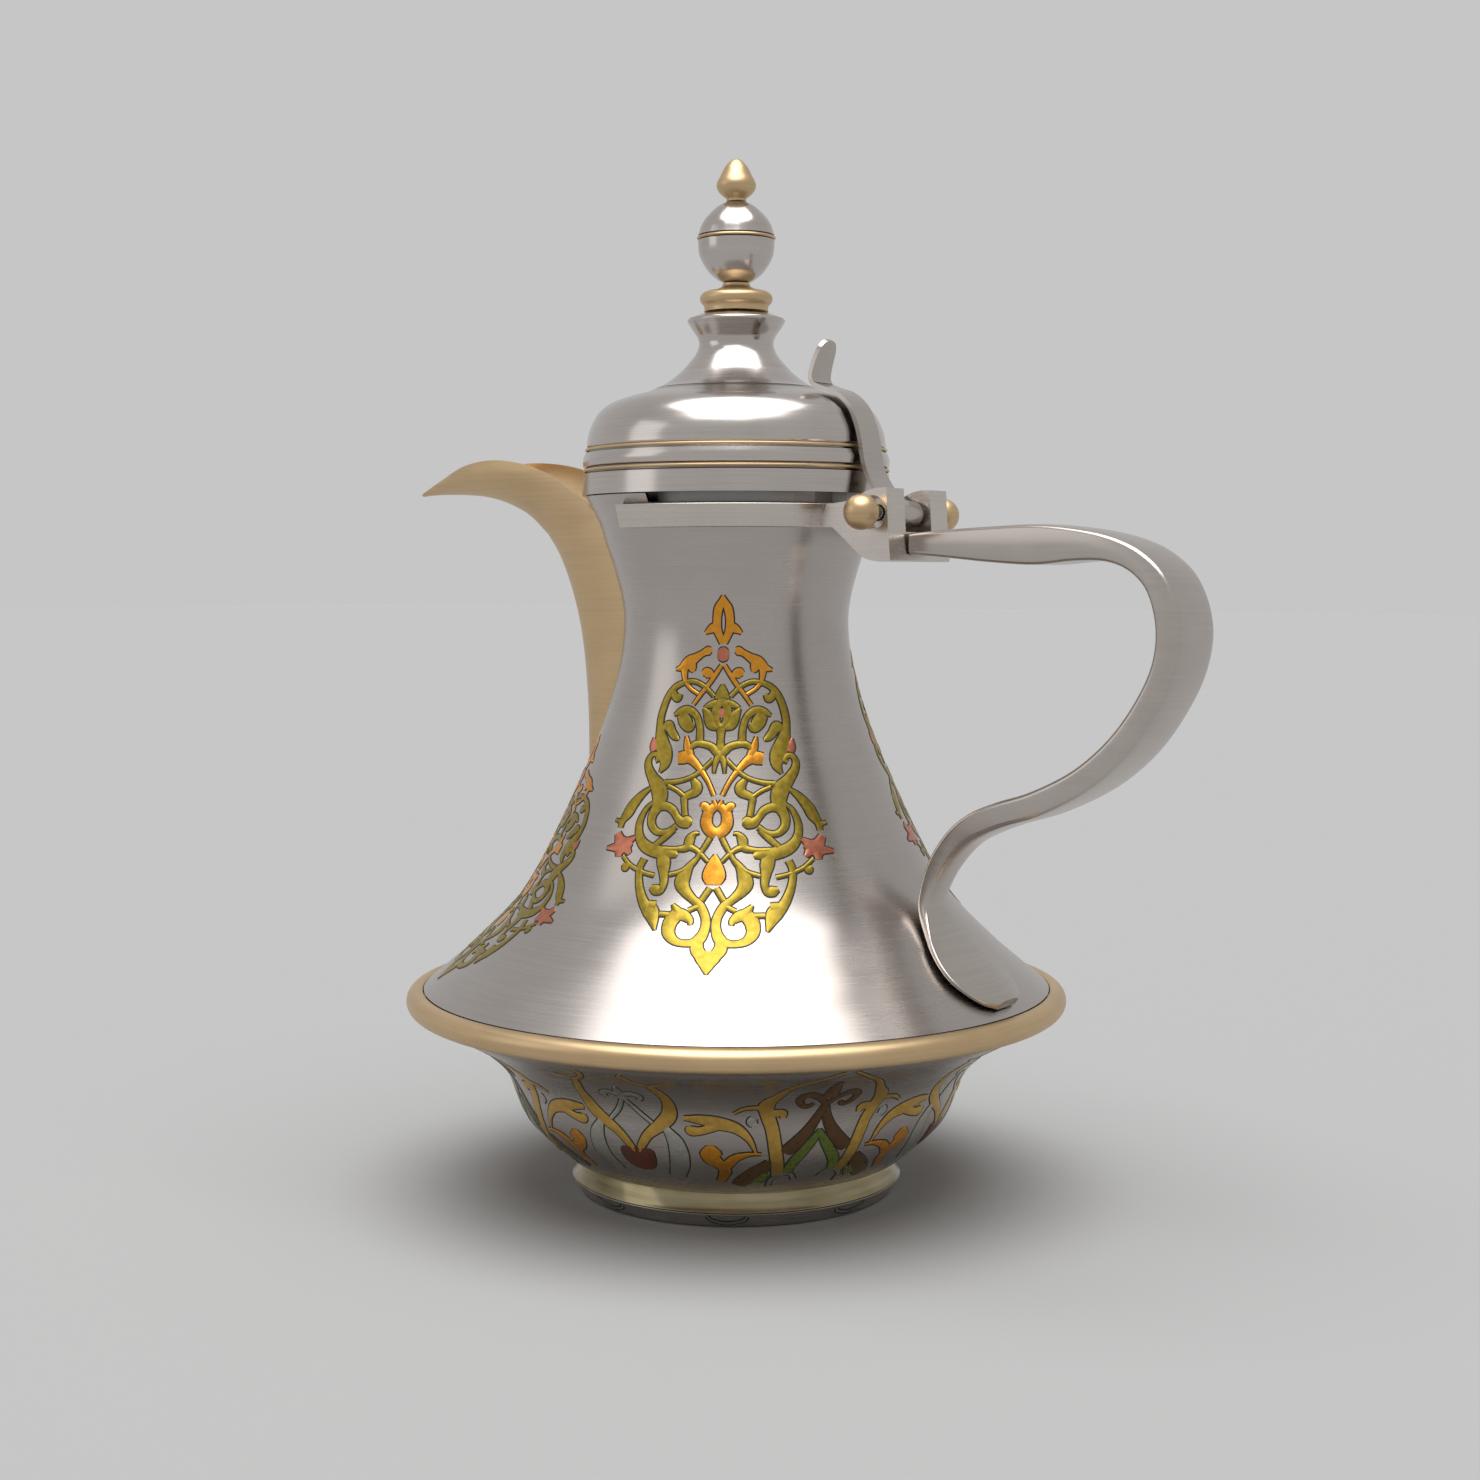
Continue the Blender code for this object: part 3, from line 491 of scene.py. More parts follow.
shoulder = smooth([(26.6, 232.6), (31.5, 231.3), (36.4, 229.5), (39.8, 226.9), (41.7, 223.8),
                   (42.9, 220.6), (43.4, 217.2)], 7)
band = smooth([(43.9, 215.1), (44.5, 213.2), (44.4, 211.3)], 3)
lid_skirt = smooth([(44.4, 209.1), (44.6, 206.0), (44.8, LID_Z)], 3)
lid_inside = [(43.5, LID_Z), (42.6, 210.0), (41.9, 216.0), (41.1, 220.6), (38.6, 225.9), (35.4, 228.3),
              (26.2, 231.3), (20.4, 232.6)]
lid_profile = ([(20.4, 233.8), (23.7, 233.8)] + shoulder + groove(43.45, 216.1) + band
               + groove(44.15, 210.2) + lid_skirt + lid_inside)
fitted(spun("domed_lid", lid_profile, BRIGHT_STEEL, sharp=28), "lid", "lid_steel", "lid_dome")
for label, r, z in (("lid_wire_upper", 43.45, 216.1), ("lid_wire_lower", 44.15, 210.2)):
    wire = [(r + WIRE_R * math.cos(a), z + WIRE_R * math.sin(a)) for a in
            [math.pi * k / 6 for k in range(12)]]
    fitted(spun(label + "_gilt", wire, GILT), "lid", "gilt", label)

spire = smooth([(23.6, 233.9), (21.6, 234.7), (19.3, 236.2), (17.1, 237.9), (15.3, 239.6), (12.3, 243.1),
                (11.1, 245.4), (10.8, 247.0), (11.3, 248.8), (12.9, 251.2), (14.2, 253.3)], 4)
under = [(1.9, 254.3), (9.0, 254.3), (12.3, 253.2), (9.5, 247.0), (13.2, 239.8), (21.5, 233.9)]
spire_profile = [(1.9, 255.7), (9.3, 255.7), (13.9, 254.0)] + spire[::-1] + under[::-1]
fitted(spun("concave_spire", rounded(spire_profile, 0.2), BRIGHT_STEEL, 112), "lid", "lid_steel",
       "lid_spire")


# ---- Finial -------------------------------------------------------------------------------------
# Turned pieces strung on one hidden stud: a gilt foot, a hollow steel ball in two halves with a
# gilt band between them, and a gilt drop on top.
BORE = 1.8
finial = (
    ("finial_base", GILT, "gilt", smooth([(3.9, 264.2), (4.3, 263.2), (6.4, 262.3), (9.2, 261.7),
     (10.45, 260.4), (10.3, 258.9), (9.3, 257.6), (9.3, 256.1)], 4)),
    ("finial_ball_lower", BRIGHT_STEEL, "lid_steel", smooth([(11.1, 276.4), (10.9, 273.4), (10.5, 271.7),
     (9.3, 269.4), (7.6, 267.1), (5.4, 265.3), (3.9, 264.5)], 5)),
    ("finial_band", GILT, "gilt", smooth([(11.0, 277.6), (11.42, 277.15), (11.0, 276.7)], 3)),
    ("finial_ball_upper", BRIGHT_STEEL, "lid_steel", smooth([(3.2, 287.3), (4.8, 286.5), (6.3, 285.4),
     (8.6, 283.1), (10.1, 280.8), (11.05, 277.9)], 5)))
for node, metal, slot_name, outer in finial:
    profile = [(BORE, outer[0][1])] + outer + [(BORE, outer[-1][1])]
    fitted(spun(node + "_turned", profile, metal, 72), "lid", slot_name, node)
drop = smooth([(0.0, 300.0), (1.7, 299.1), (3.3, 297.3), (4.5, 295.0), (5.4, 293.3), (5.7, 292.0),
               (5.4, 290.9), (4.6, 289.8), (3.4, 288.8), (2.8, 288.2), (2.9, 287.6)], 4)
fitted(spun("finial_drop", drop + [(BORE, 287.6), (BORE, 292.3), (0, 292.3)], GILT, 72), "lid", "gilt",
       "finial_tip")


# ---- Hinge strap --------------------------------------------------------------------------------
# A steel strip rolled round the pin, bent up the side of the lid and soldered to it, with its
# end turned up as a thumb tab.  Points: x, z, half width.
STRAP_HALF = 5.1
STRAP_THICK = 1.3
coil = PIN_R + 0.3 + STRAP_THICK / 2
roll = [(hinge_x + coil * math.cos(a), hinge_z + coil * math.sin(a), STRAP_HALF)
        for a in [math.radians(90 - 8 * k) for k in range(37)]]
climb = smooth([(p[0], p[1], STRAP_HALF) for p in (
    (54.0, 200.7), (50.4, 203.8), (47.2, 208.8), (45.9, 213.6), (45.3, 217.4), (44.0, 222.2),
    (41.7, 227.0), (37.6, 230.7), (32.0, 232.7))], 7)
tab = smooth([(29.6, 233.7, STRAP_HALF), (28.7, 235.8, STRAP_HALF), (29.4, 239.2, 4.9),
              (30.9, 243.2, 4.3), (31.8, 245.3, 3.0), (32.2, 246.0, 1.6)], 7)
path = roll[::-1] + climb + tab
strap_rings = []
for i, (x, z, half) in enumerate(path):
    run = Vector(path[min(i + 1, len(path) - 1)][:2]) - Vector(path[max(i - 1, 0)][:2])
    run.normalize()
    t = STRAP_THICK / 2
    section = rounded([(-half, t), (half, t), (half, -t), (-half, -t)], 0.3)
    strap_rings.append([(x - run.y * n, y, z + run.x * n) for y, n in section])
fitted(lofted("hinge_strap", strap_rings, WROUGHT_STEEL, 50), "lid", "hinge_steel", "lid_strap")


# ---- Medallions -----------------------------------------------------------------------------------
# Arabesque medallions, gilded and enamelled in cells chased into the neck and skirt, with
# blackened outlines: two large ones beside the handle, two smaller and lower beside the spout.
# Each stroke lists (degrees from the medallion's middle, height, half width).
FIRST_MEDALLION = 28.8
BETWEEN_LARGE = 110.0
FIRST_SMALL = -45.0
BETWEEN_SMALL = -90.0
LARGE_TIP_Z = 75.6
SMALL_TIP_Z = 63.7
INLAY = {
    "olive": [
        [(0, 150, .1), (0, 148, 1.3), (0, 146, 2.0)],
        [(0, 145.6, .9), (2, 144, .9), (2.6, 141.8, .9), (1.6, 139, .8), (0, 138.2, .8)],
        [(1.5, 138, .6), (4.2, 139, 1.2), (5.6, 141.3, 1.2), (7.9, 143.4, .1)],
        [(2, 145, .7), (5, 144.3, .7), (7.9, 143.4, .1)],
        [(0, 138, 1.0), (0, 135, .7), (0, 132, 1.0)],
        [(3.6, 146.6, .35), (8, 149.2, .4), (13, 150.6, .45), (18, 150.3, .5), (22.5, 148.9, .7),
         (25.8, 145.8, .8), (27.4, 141.3, .85), (26.9, 137.6, 1.0), (24.6, 133.6, 1.9),
         (22.2, 130.6, 2.0), (21.4, 128, 1.3), (22.9, 125.6, .1)],
        [(24.8, 137.4, .9), (23, 138.6, 1.1), (20.9, 136.6, 1.0), (19, 135.4, .8), (17.2, 134.7, .1)],
        [(23.6, 148.2, .6), (22.2, 146.6, .8), (20.4, 145.9, .8), (19.3, 147.2, .4)],
        [(8.4, 134.4, .8), (8.9, 138, .7), (10.8, 141.2, .7), (14.5, 142.8, .9), (18, 142.4, .9),
         (21.2, 141.3, .1)],
        [(17.5, 141.6, 1.3), (15.5, 139.6, 1.7), (13.4, 138, 1.1), (11.6, 139.2, .3)],
        [(0, 130.4, .8), (1.8, 131.9, .9), (4.2, 133.2, .8), (8.5, 133.8, .7), (10.8, 133.3, .7),
         (12, 132.2, .3)],
        [(.5, 130.6, .7), (1.6, 128.6, .5), (2, 125.8, .1)],
        [(2.5, 129.6, .35), (6, 127, .4), (10, 124.8, .4), (15, 123.5, .45), (20, 123, .6)],
        [(21.6, 115.8, 1.0), (20.6, 118.6, 2.0), (22, 121.6, 2.1), (25, 124, 1.4), (27.9, 126.5, 1.0),
         (29, 128.6, .8), (28, 130.3, .6), (25.8, 130.4, .5), (24.8, 129.3, .5), (25.9, 128.6, .3)],
        [(9.3, 124.2, .5), (7.7, 122.4, 1.2), (8, 120.9, 1.1), (11.4, 119.5, .8), (11.3, 117.5, .6),
         (10.6, 114.6, .6)],
        [(11.8, 119.7, .35), (14.8, 121.2, .35), (18.4, 122.3, .35)],
        [(8, 113, .4), (9.3, 113, 1.5), (11.4, 112.9, 1.3), (13.2, 114.1, .8), (15.2, 116, .9),
         (18, 116.9, 1.0), (20.8, 116.4, 1.3), (22.1, 114, 1.1), (21.4, 111.6, .9), (18.8, 110, .7),
         (15.6, 110.3, .6), (13, 111.8, .6)],
        [(13.5, 110.9, .5), (16, 108.9, .7), (18.9, 106.6, .6)],
        [(22.7, 117.8, .2), (24.9, 116, .5), (26.2, 112.5, .8), (25.3, 109, 1.0), (22.5, 106.4, 1.4),
         (18, 105, 1.6), (13.4, 104.8, 1.4), (11.2, 104.2, .4)],
        [(15.8, 104.4, 1.5), (15, 102, 1.7), (14.4, 99.5, 1.1), (13.9, 97, .8), (14.6, 95.1, .9),
         (16, 95.3, 1.3), (17.6, 95.8, .4)],
        [(16, 105.7, .6), (12, 105.8, .5), (8.7, 106.4, .9), (8, 108.5, 1.1), (6.8, 109.9, .5),
         (5.2, 110.2, .1)],
        [(8.4, 106.7, .7), (6, 105.9, .5), (3.8, 104.4, .4), (2, 102.8, .3)],
        [(25, 121.6, .3), (28, 119.6, .9), (30.6, 116.8, 1.4), (31.8, 114.6, 1.5), (33.2, 112.4, .9),
         (33.4, 110.4, .6)],
        [(33.4, 112, .5), (36.4, 112.4, .15)],
        [(29, 103.2, .3), (25.5, 101, .35), (21, 99.5, .35), (17.2, 98.8, .4)],
        [(26.2, 100.9, .3), (27, 100.4, 1.0), (28.2, 101.2, .3)],
        [(12.8, 99.2, .4), (9.5, 100.2, .4), (6.5, 102, .5), (4.8, 104.4, .4), (3, 107, .5),
         (1.8, 109, .5)],
        [(4.8, 104, .3), (7, 101.7, .8), (8.3, 99.3, 1.6), (8.7, 97.2, 1.8), (7.4, 95.2, 1.3),
         (5.2, 93.3, .9), (3, 91.6, 1.0), (1.4, 88.6, 1.0), (1.4, 85.8, 1.1), (2.6, 83.4, 1.4),
         (5, 82.6, .9), (8, 83, 1.0), (10, 84.9, 1.5), (10.1, 87.4, 1.8), (8.8, 89.2, 1.8),
         (7, 89.2, 1.4), (5.3, 88, .8), (5, 86.9, .3)],
        [(8.4, 89.6, 1.5), (10.4, 91.9, .15)],
        [(21.4, 103, .8), (22.2, 100.5, .8), (21.4, 97, .8), (19.8, 93.8, 1.0), (18, 91.4, 1.3),
         (16, 89.9, 2.0), (14.9, 88.2, 1.5), (13.6, 85.3, .1)],
        [(17, 91.2, 1.3), (14.9, 91.2, 1.2)],
        [(10.8, 89.3, .55), (13.4, 89.3, .55)], [(3.5, 91.6, .5), (6, 90.4, .5)],
        [(.8, 96.2, .6), (2.9, 93, .6)],
        [(0, 80.9, .8), (0, 79.3, 3.2), (0, 77.3, 1.6), (0, 75.6, .1)],
        [(2.6, 83, 1.2), (2.6, 81.3, 1.6), (1.4, 79.6, 1.5)]],
    "orange": [
        [(0, 174.6, .1), (.9, 172.6, .8), (2.4, 170.8, 1.0), (3.1, 168, .95), (2.9, 165, .95),
         (1.6, 163, .8), (.4, 161.2, .6)],
        [(3, 166, 1.2), (6, 165.2, .95), (9, 164, .1)],
        [(5.6, 159.4, .4), (7.2, 159.2, 1.0), (9.8, 158.5, .7), (13, 157.3, 1.0), (16, 156.2, 1.5),
         (18.6, 155, 1.3), (20.6, 154.3, .7), (23.4, 153.9, .1)],
        [(15.5, 155.7, 1.3), (14.5, 154, .8), (13.8, 153.3, .2)],
        [(18.8, 154.3, .9), (17.8, 151, .4), (15, 148.8, .3), (10.9, 147.2, .3)],
        [(.6, 155.3, .3), (3, 153, .4), (6, 150.2, .4), (9.5, 147.3, .35), (12.8, 144.2, .25)],
        [(4.6, 152, .3), (6.2, 152.8, 1.1), (8, 153.1, 1.2), (9.7, 152.8, .3)],
        [(1.4, 120, .35), (4, 123.9, .4), (7.6, 127.3, .7), (10.8, 129.4, 1.1), (13.4, 130, 1.7),
         (16.4, 129.7, 1.5)],
        [(11.8, 130.6, 1.0), (13.2, 133, .8), (14.2, 135.8, .1)],
        [(0, 117.4, .9), (1.4, 116.8, 1.0), (2.9, 115.4, 1.2), (3.3, 112.8, 1.4), (2, 110.9, 1.4),
         (0, 110, 1.4)],
        [(2.5, 115.5, .9), (4.4, 117.2, 1.0), (5.3, 116.6, .3)], [(.8, 117, .7), (1.3, 118.9, .2)],
        [(0, 104.8, .1), (0, 103, 1.4), (0, 100.6, 2.7), (0, 98.6, 2.9), (0, 97, 1.8)]],
    "coral": [
        [(0, 143.3, .3), (0, 142, .9), (0, 140.7, .3)],
        [(-2.9, 158.2, .1), (-2.2, 158.2, 1.3), (0, 158.2, 1.9), (2.2, 158.2, 1.3), (2.9, 158.2, .1)],
        [(27.3, 131.4, .9), (28.3, 133, 1.0), (29, 135.1, .1)],
        [(27, 107, .6), (28.6, 106.4, 1.7), (30.6, 106, 2.4), (33, 106.6, 1.5)],
        [(31, 106, 1.9), (33.7, 109, .8)], [(31, 105.4, 1.9), (30.6, 102.9, .7)],
        [(31, 105.6, 1.6), (36.4, 104.8, .2)], [(29.5, 106.5, 1.6), (26.4, 108.4, .3)],
        [(29.5, 106, 1.6), (26.8, 103.9, .4)]]}


def inlaid_metal(name, light, dark, rough, metallic=1.0):
    """Gold leaf or enamel in chased cells, mottled where the burnisher left it uneven."""
    mat = bpy.data.materials.new(name)
    mat.use_nodes = True
    tree = mat.node_tree
    shader = tree.nodes["Principled BSDF"]
    shader.inputs["Metallic"].default_value = metallic
    place_at = add(tree, "ShaderNodeTexCoord").outputs["Object"]
    mottle = add(tree, "ShaderNodeTexNoise", None,
                 {"Vector": place_at, "Scale": 1 / (1.6 * MM), "Detail": 4.0}).outputs["Fac"]
    colour = add(tree, "ShaderNodeMix", {"data_type": "RGBA"},
                 {"Factor": mottle, 6: linear(dark), 7: linear(light)}).outputs[2]
    uneven = add(tree, "ShaderNodeMapRange", None,
                 {"Value": mottle, "To Min": rough - 0.08, "To Max": rough + 0.08}).outputs["Result"]
    bump = add(tree, "ShaderNodeBump", None,
               {"Height": mottle, "Strength": 0.35, "Distance": 0.05 * MM}).outputs["Normal"]
    tree.links.new(colour, shader.inputs["Base Color"])
    tree.links.new(uneven, shader.inputs["Roughness"])
    tree.links.new(bump, shader.inputs["Normal"])
    return mat


INLAY_METAL = {
    # Burnished gold leaf over a green ground: olive in shade, yellow where it shines.
    "olive": inlaid_metal("olive burnished gold leaf", "#B79F42", "#6E5B20", 0.34),
    # Fire gilding with a copper-rich alloy: orange gold.
    "orange": inlaid_metal("orange copper-rich gilding", "#E9A640", "#C9822A", 0.26),
    # Polished copper under clear lacquer: coral.
    "coral": inlaid_metal("lacquered copper", "#D28A6E", "#A9604A", 0.3),
    # Bitumen rubbed into the chased outline: matt black.
    "outline": inlaid_metal("blackened chased line", "#1E1A12", "#0D0B07", 0.45, 0.0),
    "gold": inlaid_metal("old gold gilding", "#E2BA66", "#B08A40", 0.34),
    "brown": inlaid_metal("brown enamel", "#6A4A20", "#4A3113", 0.3, 0.3),
    "russet": inlaid_metal("russet enamel", "#6E3820", "#4A2312", 0.35, 0.2),
    "green": inlaid_metal("green enamel", "#74862F", "#4C5C1C", 0.28, 0.3),
    "pale": inlaid_metal("pale burnished tin", "#C4C4B8", "#A2A298", 0.25)}


def on_surface(outline, angle, z, lift):
    """A point on the pot at an angle from the middle of the pattern, raised off the surface."""
    z = min(max(z, outline[-1][1] + 0.4), outline[0][1] - 0.4)
    r = radius_at(outline, z)
    out = Vector((0.6, (radius_at(outline, z - 0.3) - radius_at(outline, z + 0.3)))).normalized()
    r, z = r + out.x * lift, z + out.y * lift
    return Vector((r * math.sin(angle), -r * math.cos(angle), z))


# Section of a stroke: (share of its half width, share of its height, or millimetres below the metal).
RIBBON = ((-1, -0.12), (-0.96, 0.6), (-0.5, 0.9), (0, 1.0), (0.5, 0.9), (0.96, 0.6), (1, -0.12))


def stroke(bm, outline, points, grow, lift):
    """Lay one tapered, slightly domed ribbon on the pot, closed underneath."""
    spine = smooth(points, 6 if len(points) > 2 else 4)
    places = [on_surface(outline, math.radians(a), z, 0) for a, z, _ in spine]
    rows = []
    for i, (a, z, half) in enumerate(spine):
        run = places[min(i + 1, len(places) - 1)] - places[max(i - 1, 0)]
        if run.length < 1e-6:
            continue
        here = places[i]
        normal = on_surface(outline, math.radians(a), z, 1) - here
        side = normal.cross(run).normalized()
        half = max(half, 0.06) + grow
        row = []
        for t, up in RIBBON:
            spot = here + side * (half * t)
            height = lift * up if up > 0 else up
            row.append(bm.verts.new(on_surface(outline, math.atan2(spot.x, -spot.y), spot.z, height)))
        rows.append(row)
    for low, high in zip(rows, rows[1:]):
        for k in range(len(RIBBON)):
            j = (k + 1) % len(RIBBON)
            bm.faces.new((low[k], low[j], high[j], high[k]))
    bm.faces.new(rows[0])
    bm.faces.new(rows[-1])


def round_the_pot():
    """Node tree that repeats a pattern round the pot's axis, one step of angle apart."""
    tree = bpy.data.node_groups.new("pattern_round_the_pot", "GeometryNodeTree")
    ways = {}
    for label, way, kind in (("Pattern", "INPUT", "NodeSocketGeometry"), ("Count", "INPUT", "NodeSocketInt"),
                             ("First Angle", "INPUT", "NodeSocketFloat"),
                             ("Step", "INPUT", "NodeSocketFloat"),
                             ("Metal", "INPUT", "NodeSocketMaterial"),
                             ("Pattern", "OUTPUT", "NodeSocketGeometry")):
        made = tree.interface.new_socket(name=label, in_out=way, socket_type=kind)
        if way == "INPUT":
            ways[label] = made.identifier
    start = tree.nodes.new("NodeGroupInput")
    count = start.outputs["Count"]
    index = add(tree, "GeometryNodeInputIndex").outputs[0]
    turn = add(tree, "ShaderNodeMath", {"operation": "MULTIPLY_ADD"},
               {0: index, 1: start.outputs["Step"], 2: start.outputs["First Angle"]}).outputs[0]
    angles = add(tree, "ShaderNodeCombineXYZ", None, {"Z": turn}).outputs[0]
    seats = add(tree, "GeometryNodePoints", None, {"Count": count}).outputs[0]
    copies = add(tree, "GeometryNodeInstanceOnPoints", None,
                 {"Points": seats, "Instance": start.outputs["Pattern"], "Rotation": angles}).outputs[0]
    real = add(tree, "GeometryNodeRealizeInstances", None, {"Geometry": copies}).outputs[0]
    painted = add(tree, "GeometryNodeSetMaterial", None,
                  {"Geometry": real, "Material": start.outputs["Metal"]}).outputs[0]
    add(tree, "NodeGroupOutput", None, {"Pattern": painted})
    return tree, ways


ROUND_TREE, ROUND_INPUT = round_the_pot()
# Millimetres added to each half width: for the black line under a stroke, and for the stroke.
OUTLINE_GROW = 0.55
STROKE_GROW = 0.14


def inlay(name, outline, groups, count, first_degrees, step_degrees, mirrored=True, thick=0.24):
    """Lay every colour of a pattern, and the black line under it, and repeat it round the pot."""
    drawn = {"outline": [(s, OUTLINE_GROW, thick * 0.45) for group in groups.values() for s in group]}
    drawn.update({metal: [(s, STROKE_GROW, thick) for s in group] for metal, group in groups.items()})
    for metal, strokes in drawn.items():
        bm = bmesh.new()
        for points, grow, lift in strokes:
            stroke(bm, outline, points, grow, lift)
            off_axis = max(abs(angle) for angle, _, _ in points) > 0.05
            if mirrored and off_axis and points[0][0] >= 0:
                stroke(bm, outline, [(-a, z, w) for a, z, w in points], grow, lift)
        piece = finished(name + "_" + metal, bm, None, 60)
        mod = piece.modifiers.new("round", "NODES")
        mod.node_group = ROUND_TREE
        mod[ROUND_INPUT["Count"]] = count
        mod[ROUND_INPUT["First Angle"]] = math.radians(first_degrees)
        mod[ROUND_INPUT["Step"]] = math.radians(step_degrees)
        mod[ROUND_INPUT["Metal"]] = INLAY_METAL[metal]
        fitted(settle(piece), "root", "pot_steel")


def smaller(points):
    """A stroke of the large medallion, drawn smaller and lower on the skirt."""
    return [(a * 0.79, SMALL_TIP_Z + 0.71 * (z - LARGE_TIP_Z), half * 0.88) for a, z, half in points]


inlay("medallion", NECK_AND_SKIRT, INLAY, 2, FIRST_MEDALLION, BETWEEN_LARGE)
inlay("small_medallion", NECK_AND_SKIRT, {k: [smaller(s) for s in v] for k, v in INLAY.items()},
      2, FIRST_SMALL, BETWEEN_SMALL)


# ---- Bowl band ------------------------------------------------------------------------------------
# A frieze of two motifs in turn, ogee arches and budding stems, enamelled on the bowl.
FIRST_ARCH = 55.0
FIRST_BUD = 9.7
ARCH = {
    "gold": [
        [(1, 51.8, .3), (5, 49, .5), (9, 46.3, .7), (11.5, 43, 1.2), (13.4, 40.2, 2.0), (13, 36.8, 1.7),
         (11.8, 33, 1.6), (11, 29, 1.6), (10.3, 25, 1.6), (9.5, 21, 1.6), (8.8, 17.4, 1.5)],
        [(13, 37, 1.2), (9.8, 37.3, 1.1), (9.3, 35.6, .5)],
        [(14, 39.3, .8), (18, 39, .5), (20.6, 37.4, .1)],
        [(15.2, 25.3, .1), (17, 29.5, .7), (20, 32.8, 1.4), (24, 34.3, 1.9), (28, 35.3, 1.4), (32, 35.6, .5)],
        [(24.5, 33.6, 1.3), (28, 32, 1.0), (30.6, 31.9, 1.3), (31, 33.2, .4)]],
    "orange": [
        [(26.2, 27.6, .8), (26.2, 25.6, 2.7), (26, 23.6, 2.3), (24, 21.4, 1.5), (22.9, 19, 1.5),
         (24.4, 15.4, .9)],
        [(23, 20.5, 1.5), (20.4, 23.6, 1.2), (17, 24.9, .5), (13.8, 24.9, .1)]],
    "brown": [
        [(0, 47.8, .1), (0, 46, 1.0), (0, 43.6, 1.8), (0, 41.8, 1.8)],
        [(.3, 39.8, .6), (2, 41.7, .8), (4.6, 43.2, 1.1), (6.4, 42, .9), (5.8, 39.8, .6),
         (4.2, 39, .5), (3, 40, .3)],
        [(0, 40.2, .5), (.7, 36.8, .9), (2.4, 32.5, 1.3), (4.8, 28.8, 1.7), (7.6, 25.8, 1.7), (8.2, 25, 1.2)],
        [(11.7, 22.4, 1.0), (14, 19.4, 2.4), (17.5, 16, 2.4), (19.6, 13.9, 1.5)]],
    "green": [
        [(0, 31.6, .2), (1.2, 28.8, 1.0), (3.4, 25.2, 1.3), (5.5, 21.8, 1.4), (6.5, 18.2, 1.2)],
        [(12, 18, 1.1), (14.6, 15, 1.6)]],
    "pale": [
        [(16, 36, .8), (16.5, 34.8, 1.2), (15.7, 33.6, .8)],
        [(3.6, 15.4, .5), (5.2, 17.5, .5), (8, 17.8, .5), (10.4, 15.6, .5), (10.6, 13, .5)]]}
BUD = {
    "gold": [
        [(.6, 24.2, .6), (1.8, 26.5, 1.0), (4, 29.8, 1.2), (7.4, 33, 1.7), (9.6, 35.6, 2.0),
         (10.4, 38.6, 1.7), (10.2, 42, 1.2), (8.9, 44.8, 1.0), (8.6, 46.2, .7), (11, 47.3, .3),
         (12.3, 47.6, .1)],
        [(8.4, 46, .6), (5.5, 47.7, .6), (4.2, 49.6, .7), (4.5, 50.6, .2)]],
    "russet": [
        [(0, 25.4, 3.8), (0, 24.4, 4.9), (0, 21.6, 4.7), (0, 19.2, 3.4), (0, 18, 1.2)]],
    "pale": [
        [(8.6, 32.2, .8), (10.8, 27.6, 2.2), (11, 22, 2.6), (9, 16.6, 2.0)],
        [(0, 44.7, .2), (0, 43, 1.1), (0, 41.8, .9)],
        [(.6, 41.8, .8), (2.8, 42.6, .9), (4.5, 41.6, .8), (3.8, 40.4, .4)],
        [(.4, 40.2, .45), (2.6, 36.6, .5), (5.4, 33.4, .4)]]}
inlay("bowl_arch", BOWL, ARCH, 4, FIRST_ARCH, 90, thick=0.2)
inlay("bowl_bud", BOWL, BUD, 4, FIRST_BUD, 90, thick=0.2)

# Eight small scallops hang from the rim of the base ring.
FIRST_SCALLOP = 32.0
BASE_SIDE = [(48.6, 4.1), (48.45, 3.4), (46.3, 0.0)]
SCALLOPS = {"pale": [[(-6.6, 3.5, .2), (-5.2, 2.1, .3), (0, 1.2, .34), (5.2, 2.1, .3), (6.6, 3.5, .2)]]}
inlay("foot_scallops", BASE_SIDE, SCALLOPS, 8, FIRST_SCALLOP, 45, False, 0.12)


# ---- Studio -----------------------------------------------------------------------------------------
# A plain pale floor, an even top light, a grey surround, and two soft boxes that are seen only as
# reflections in the metal.  The camera looks slightly down.
FLOOR_REACH = 10.0
floor_mesh = bpy.data.meshes.new("studio_floor")
floor_mesh.from_pydata([(-FLOOR_REACH, -FLOOR_REACH, 0), (FLOOR_REACH, -FLOOR_REACH, 0),
                        (FLOOR_REACH, FLOOR_REACH, 0), (-FLOOR_REACH, FLOOR_REACH, 0)], [], [(0, 1, 2, 3)])
floor = bpy.data.objects.new("studio_floor", floor_mesh)
bpy.context.collection.objects.link(floor)
paper = bpy.data.materials.new("matt studio paper")
paper.use_nodes = True
paper.node_tree.nodes["Principled BSDF"].inputs["Base Color"].default_value = linear("#C9C9C9")
paper.node_tree.nodes["Principled BSDF"].inputs["Roughness"].default_value = 0.9
floor_mesh.materials.append(paper)
floor.location.z = -0.0002

world = bpy.data.worlds.new("grey_surround")
bpy.context.scene.world = world
world.use_nodes = True
surround = world.node_tree.nodes["Background"]
surround.inputs["Color"].default_value = linear("#C6C6C6")
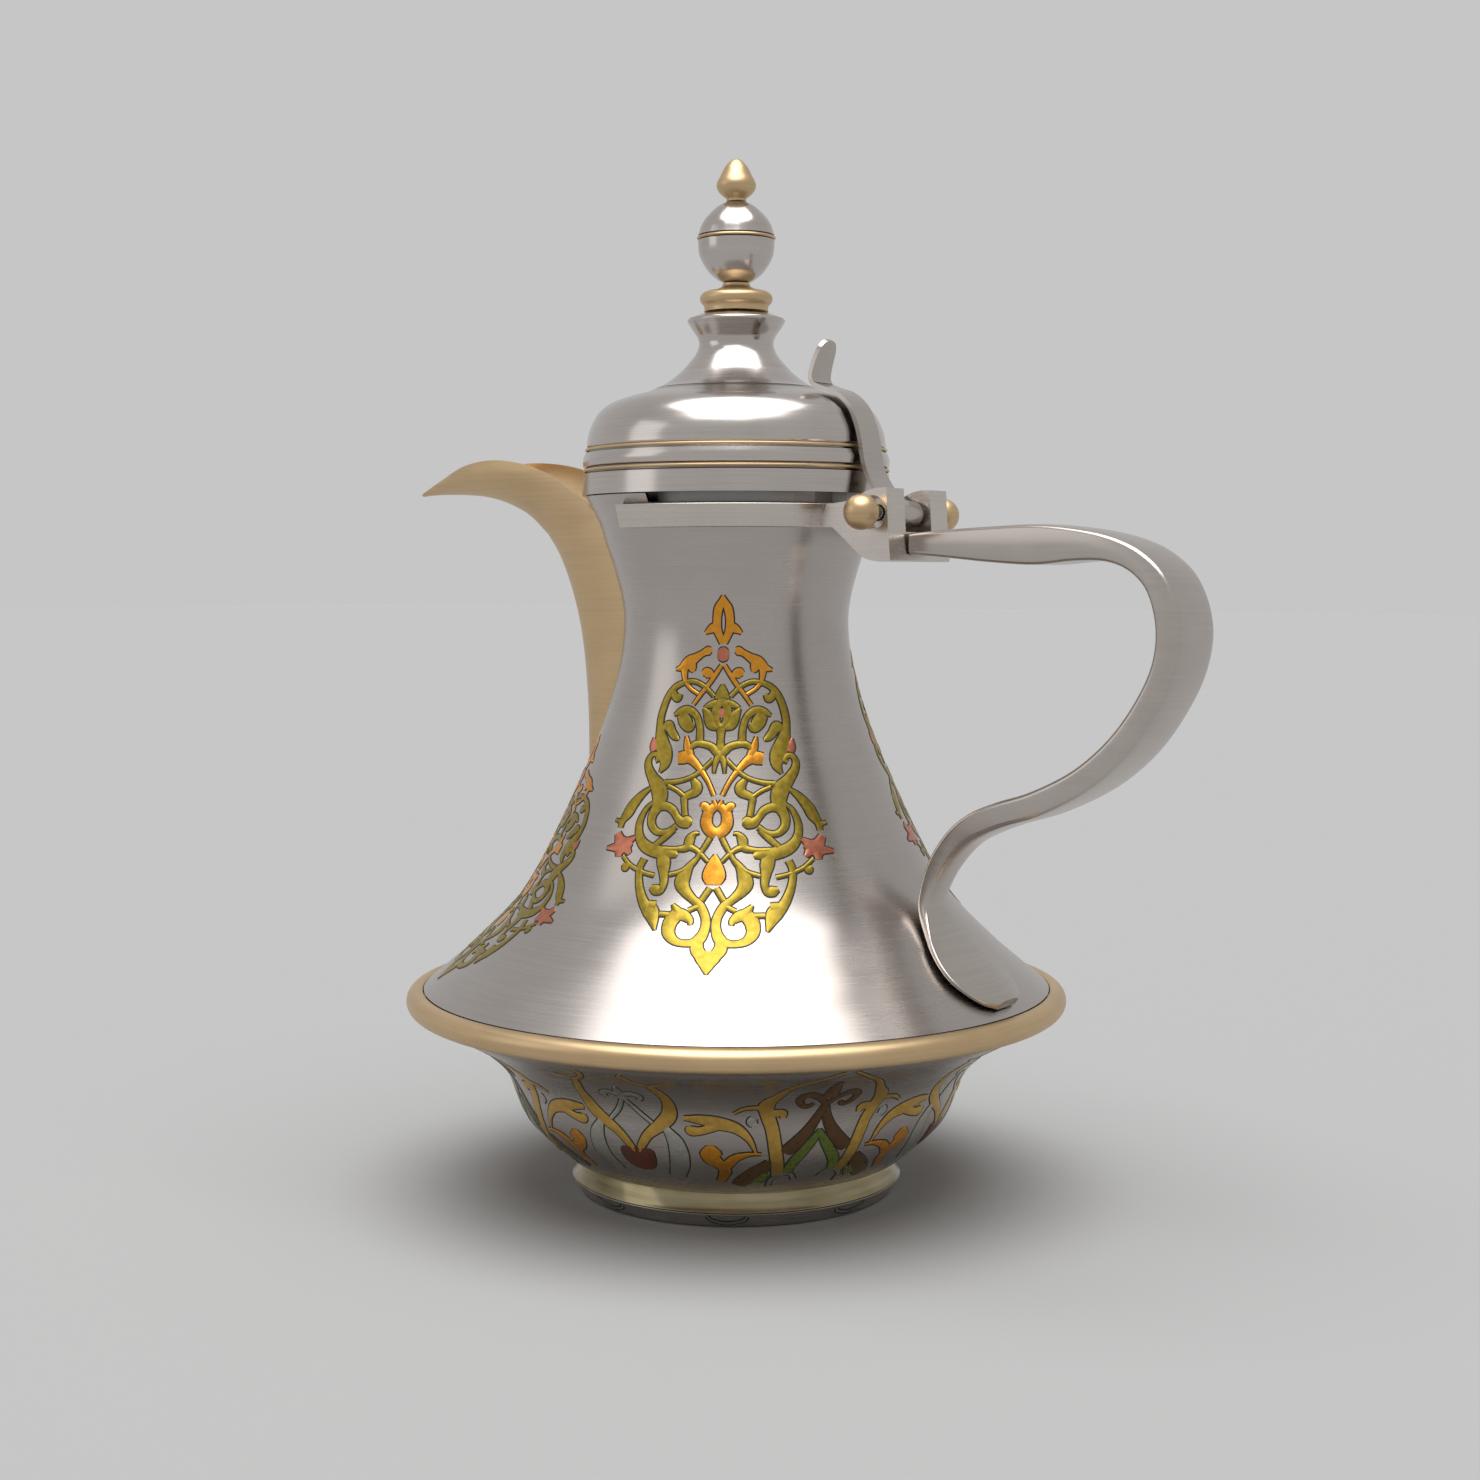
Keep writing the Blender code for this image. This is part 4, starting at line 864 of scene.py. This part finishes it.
# The surround lights matt surfaces less than it shows, as black flags outside the set do.
matt_ray = add(world.node_tree, "ShaderNodeLightPath").outputs["Is Diffuse Ray"]
world.node_tree.links.new(add(world.node_tree, "ShaderNodeMapRange", None,
                              {"Value": matt_ray, "To Min": 1.0, "To Max": 0.35}).outputs["Result"],
                          surround.inputs["Strength"])

VIEW_TURN = math.radians(35)
CAMERA_TILT = math.radians(4.29)
CAMERA_AWAY = 0.6418
CAMERA_HIGH = 0.180
LENS_MM = 53.29


def soft_box(name, turn, away, height, wide, tall, radiance):
    """A rectangular soft box aimed at the pot, turned from the camera's side by some degrees."""
    data = bpy.data.lights.new(name, "AREA")
    data.shape = "RECTANGLE"
    data.size = wide
    data.size_y = tall
    data.energy = radiance * math.pi * wide * tall
    lamp = bpy.data.objects.new(name, data)
    bpy.context.collection.objects.link(lamp)
    lamp.visible_diffuse = False
    a = VIEW_TURN + math.radians(turn)
    lamp.location = (away * math.sin(a), -away * math.cos(a), height)
    lamp.rotation_euler = (Vector((0, 0, 0.12)) - lamp.location).to_track_quat("-Z", "Y").to_euler()


soft_box("overhead_box", -16, 0.5, 1.5, 0.95, 1.1, 1.75)
soft_box("left_strip", -75, 1.4, 0.7, 0.7, 0.9, 0.6)
sky = bpy.data.lights.new("even_top_light", "SUN")
sky.energy = 2.35
sky.angle = math.radians(66)
top_light = bpy.data.objects.new("even_top_light", sky)
bpy.context.collection.objects.link(top_light)
top_light.rotation_euler = (math.radians(9), 0, VIEW_TURN)

camera_data = bpy.data.cameras.new("camera")
camera = bpy.data.objects.new("camera", camera_data)
bpy.context.collection.objects.link(camera)
camera_data.lens = LENS_MM
camera_data.sensor_width = 36.0
camera_data.shift_x = 0.0025
camera.location = (CAMERA_AWAY * math.sin(VIEW_TURN), -CAMERA_AWAY * math.cos(VIEW_TURN), CAMERA_HIGH)
camera.rotation_euler = (math.pi / 2 - CAMERA_TILT, 0, VIEW_TURN)
bpy.context.scene.camera = camera
bpy.context.scene.view_settings.view_transform = "Standard"
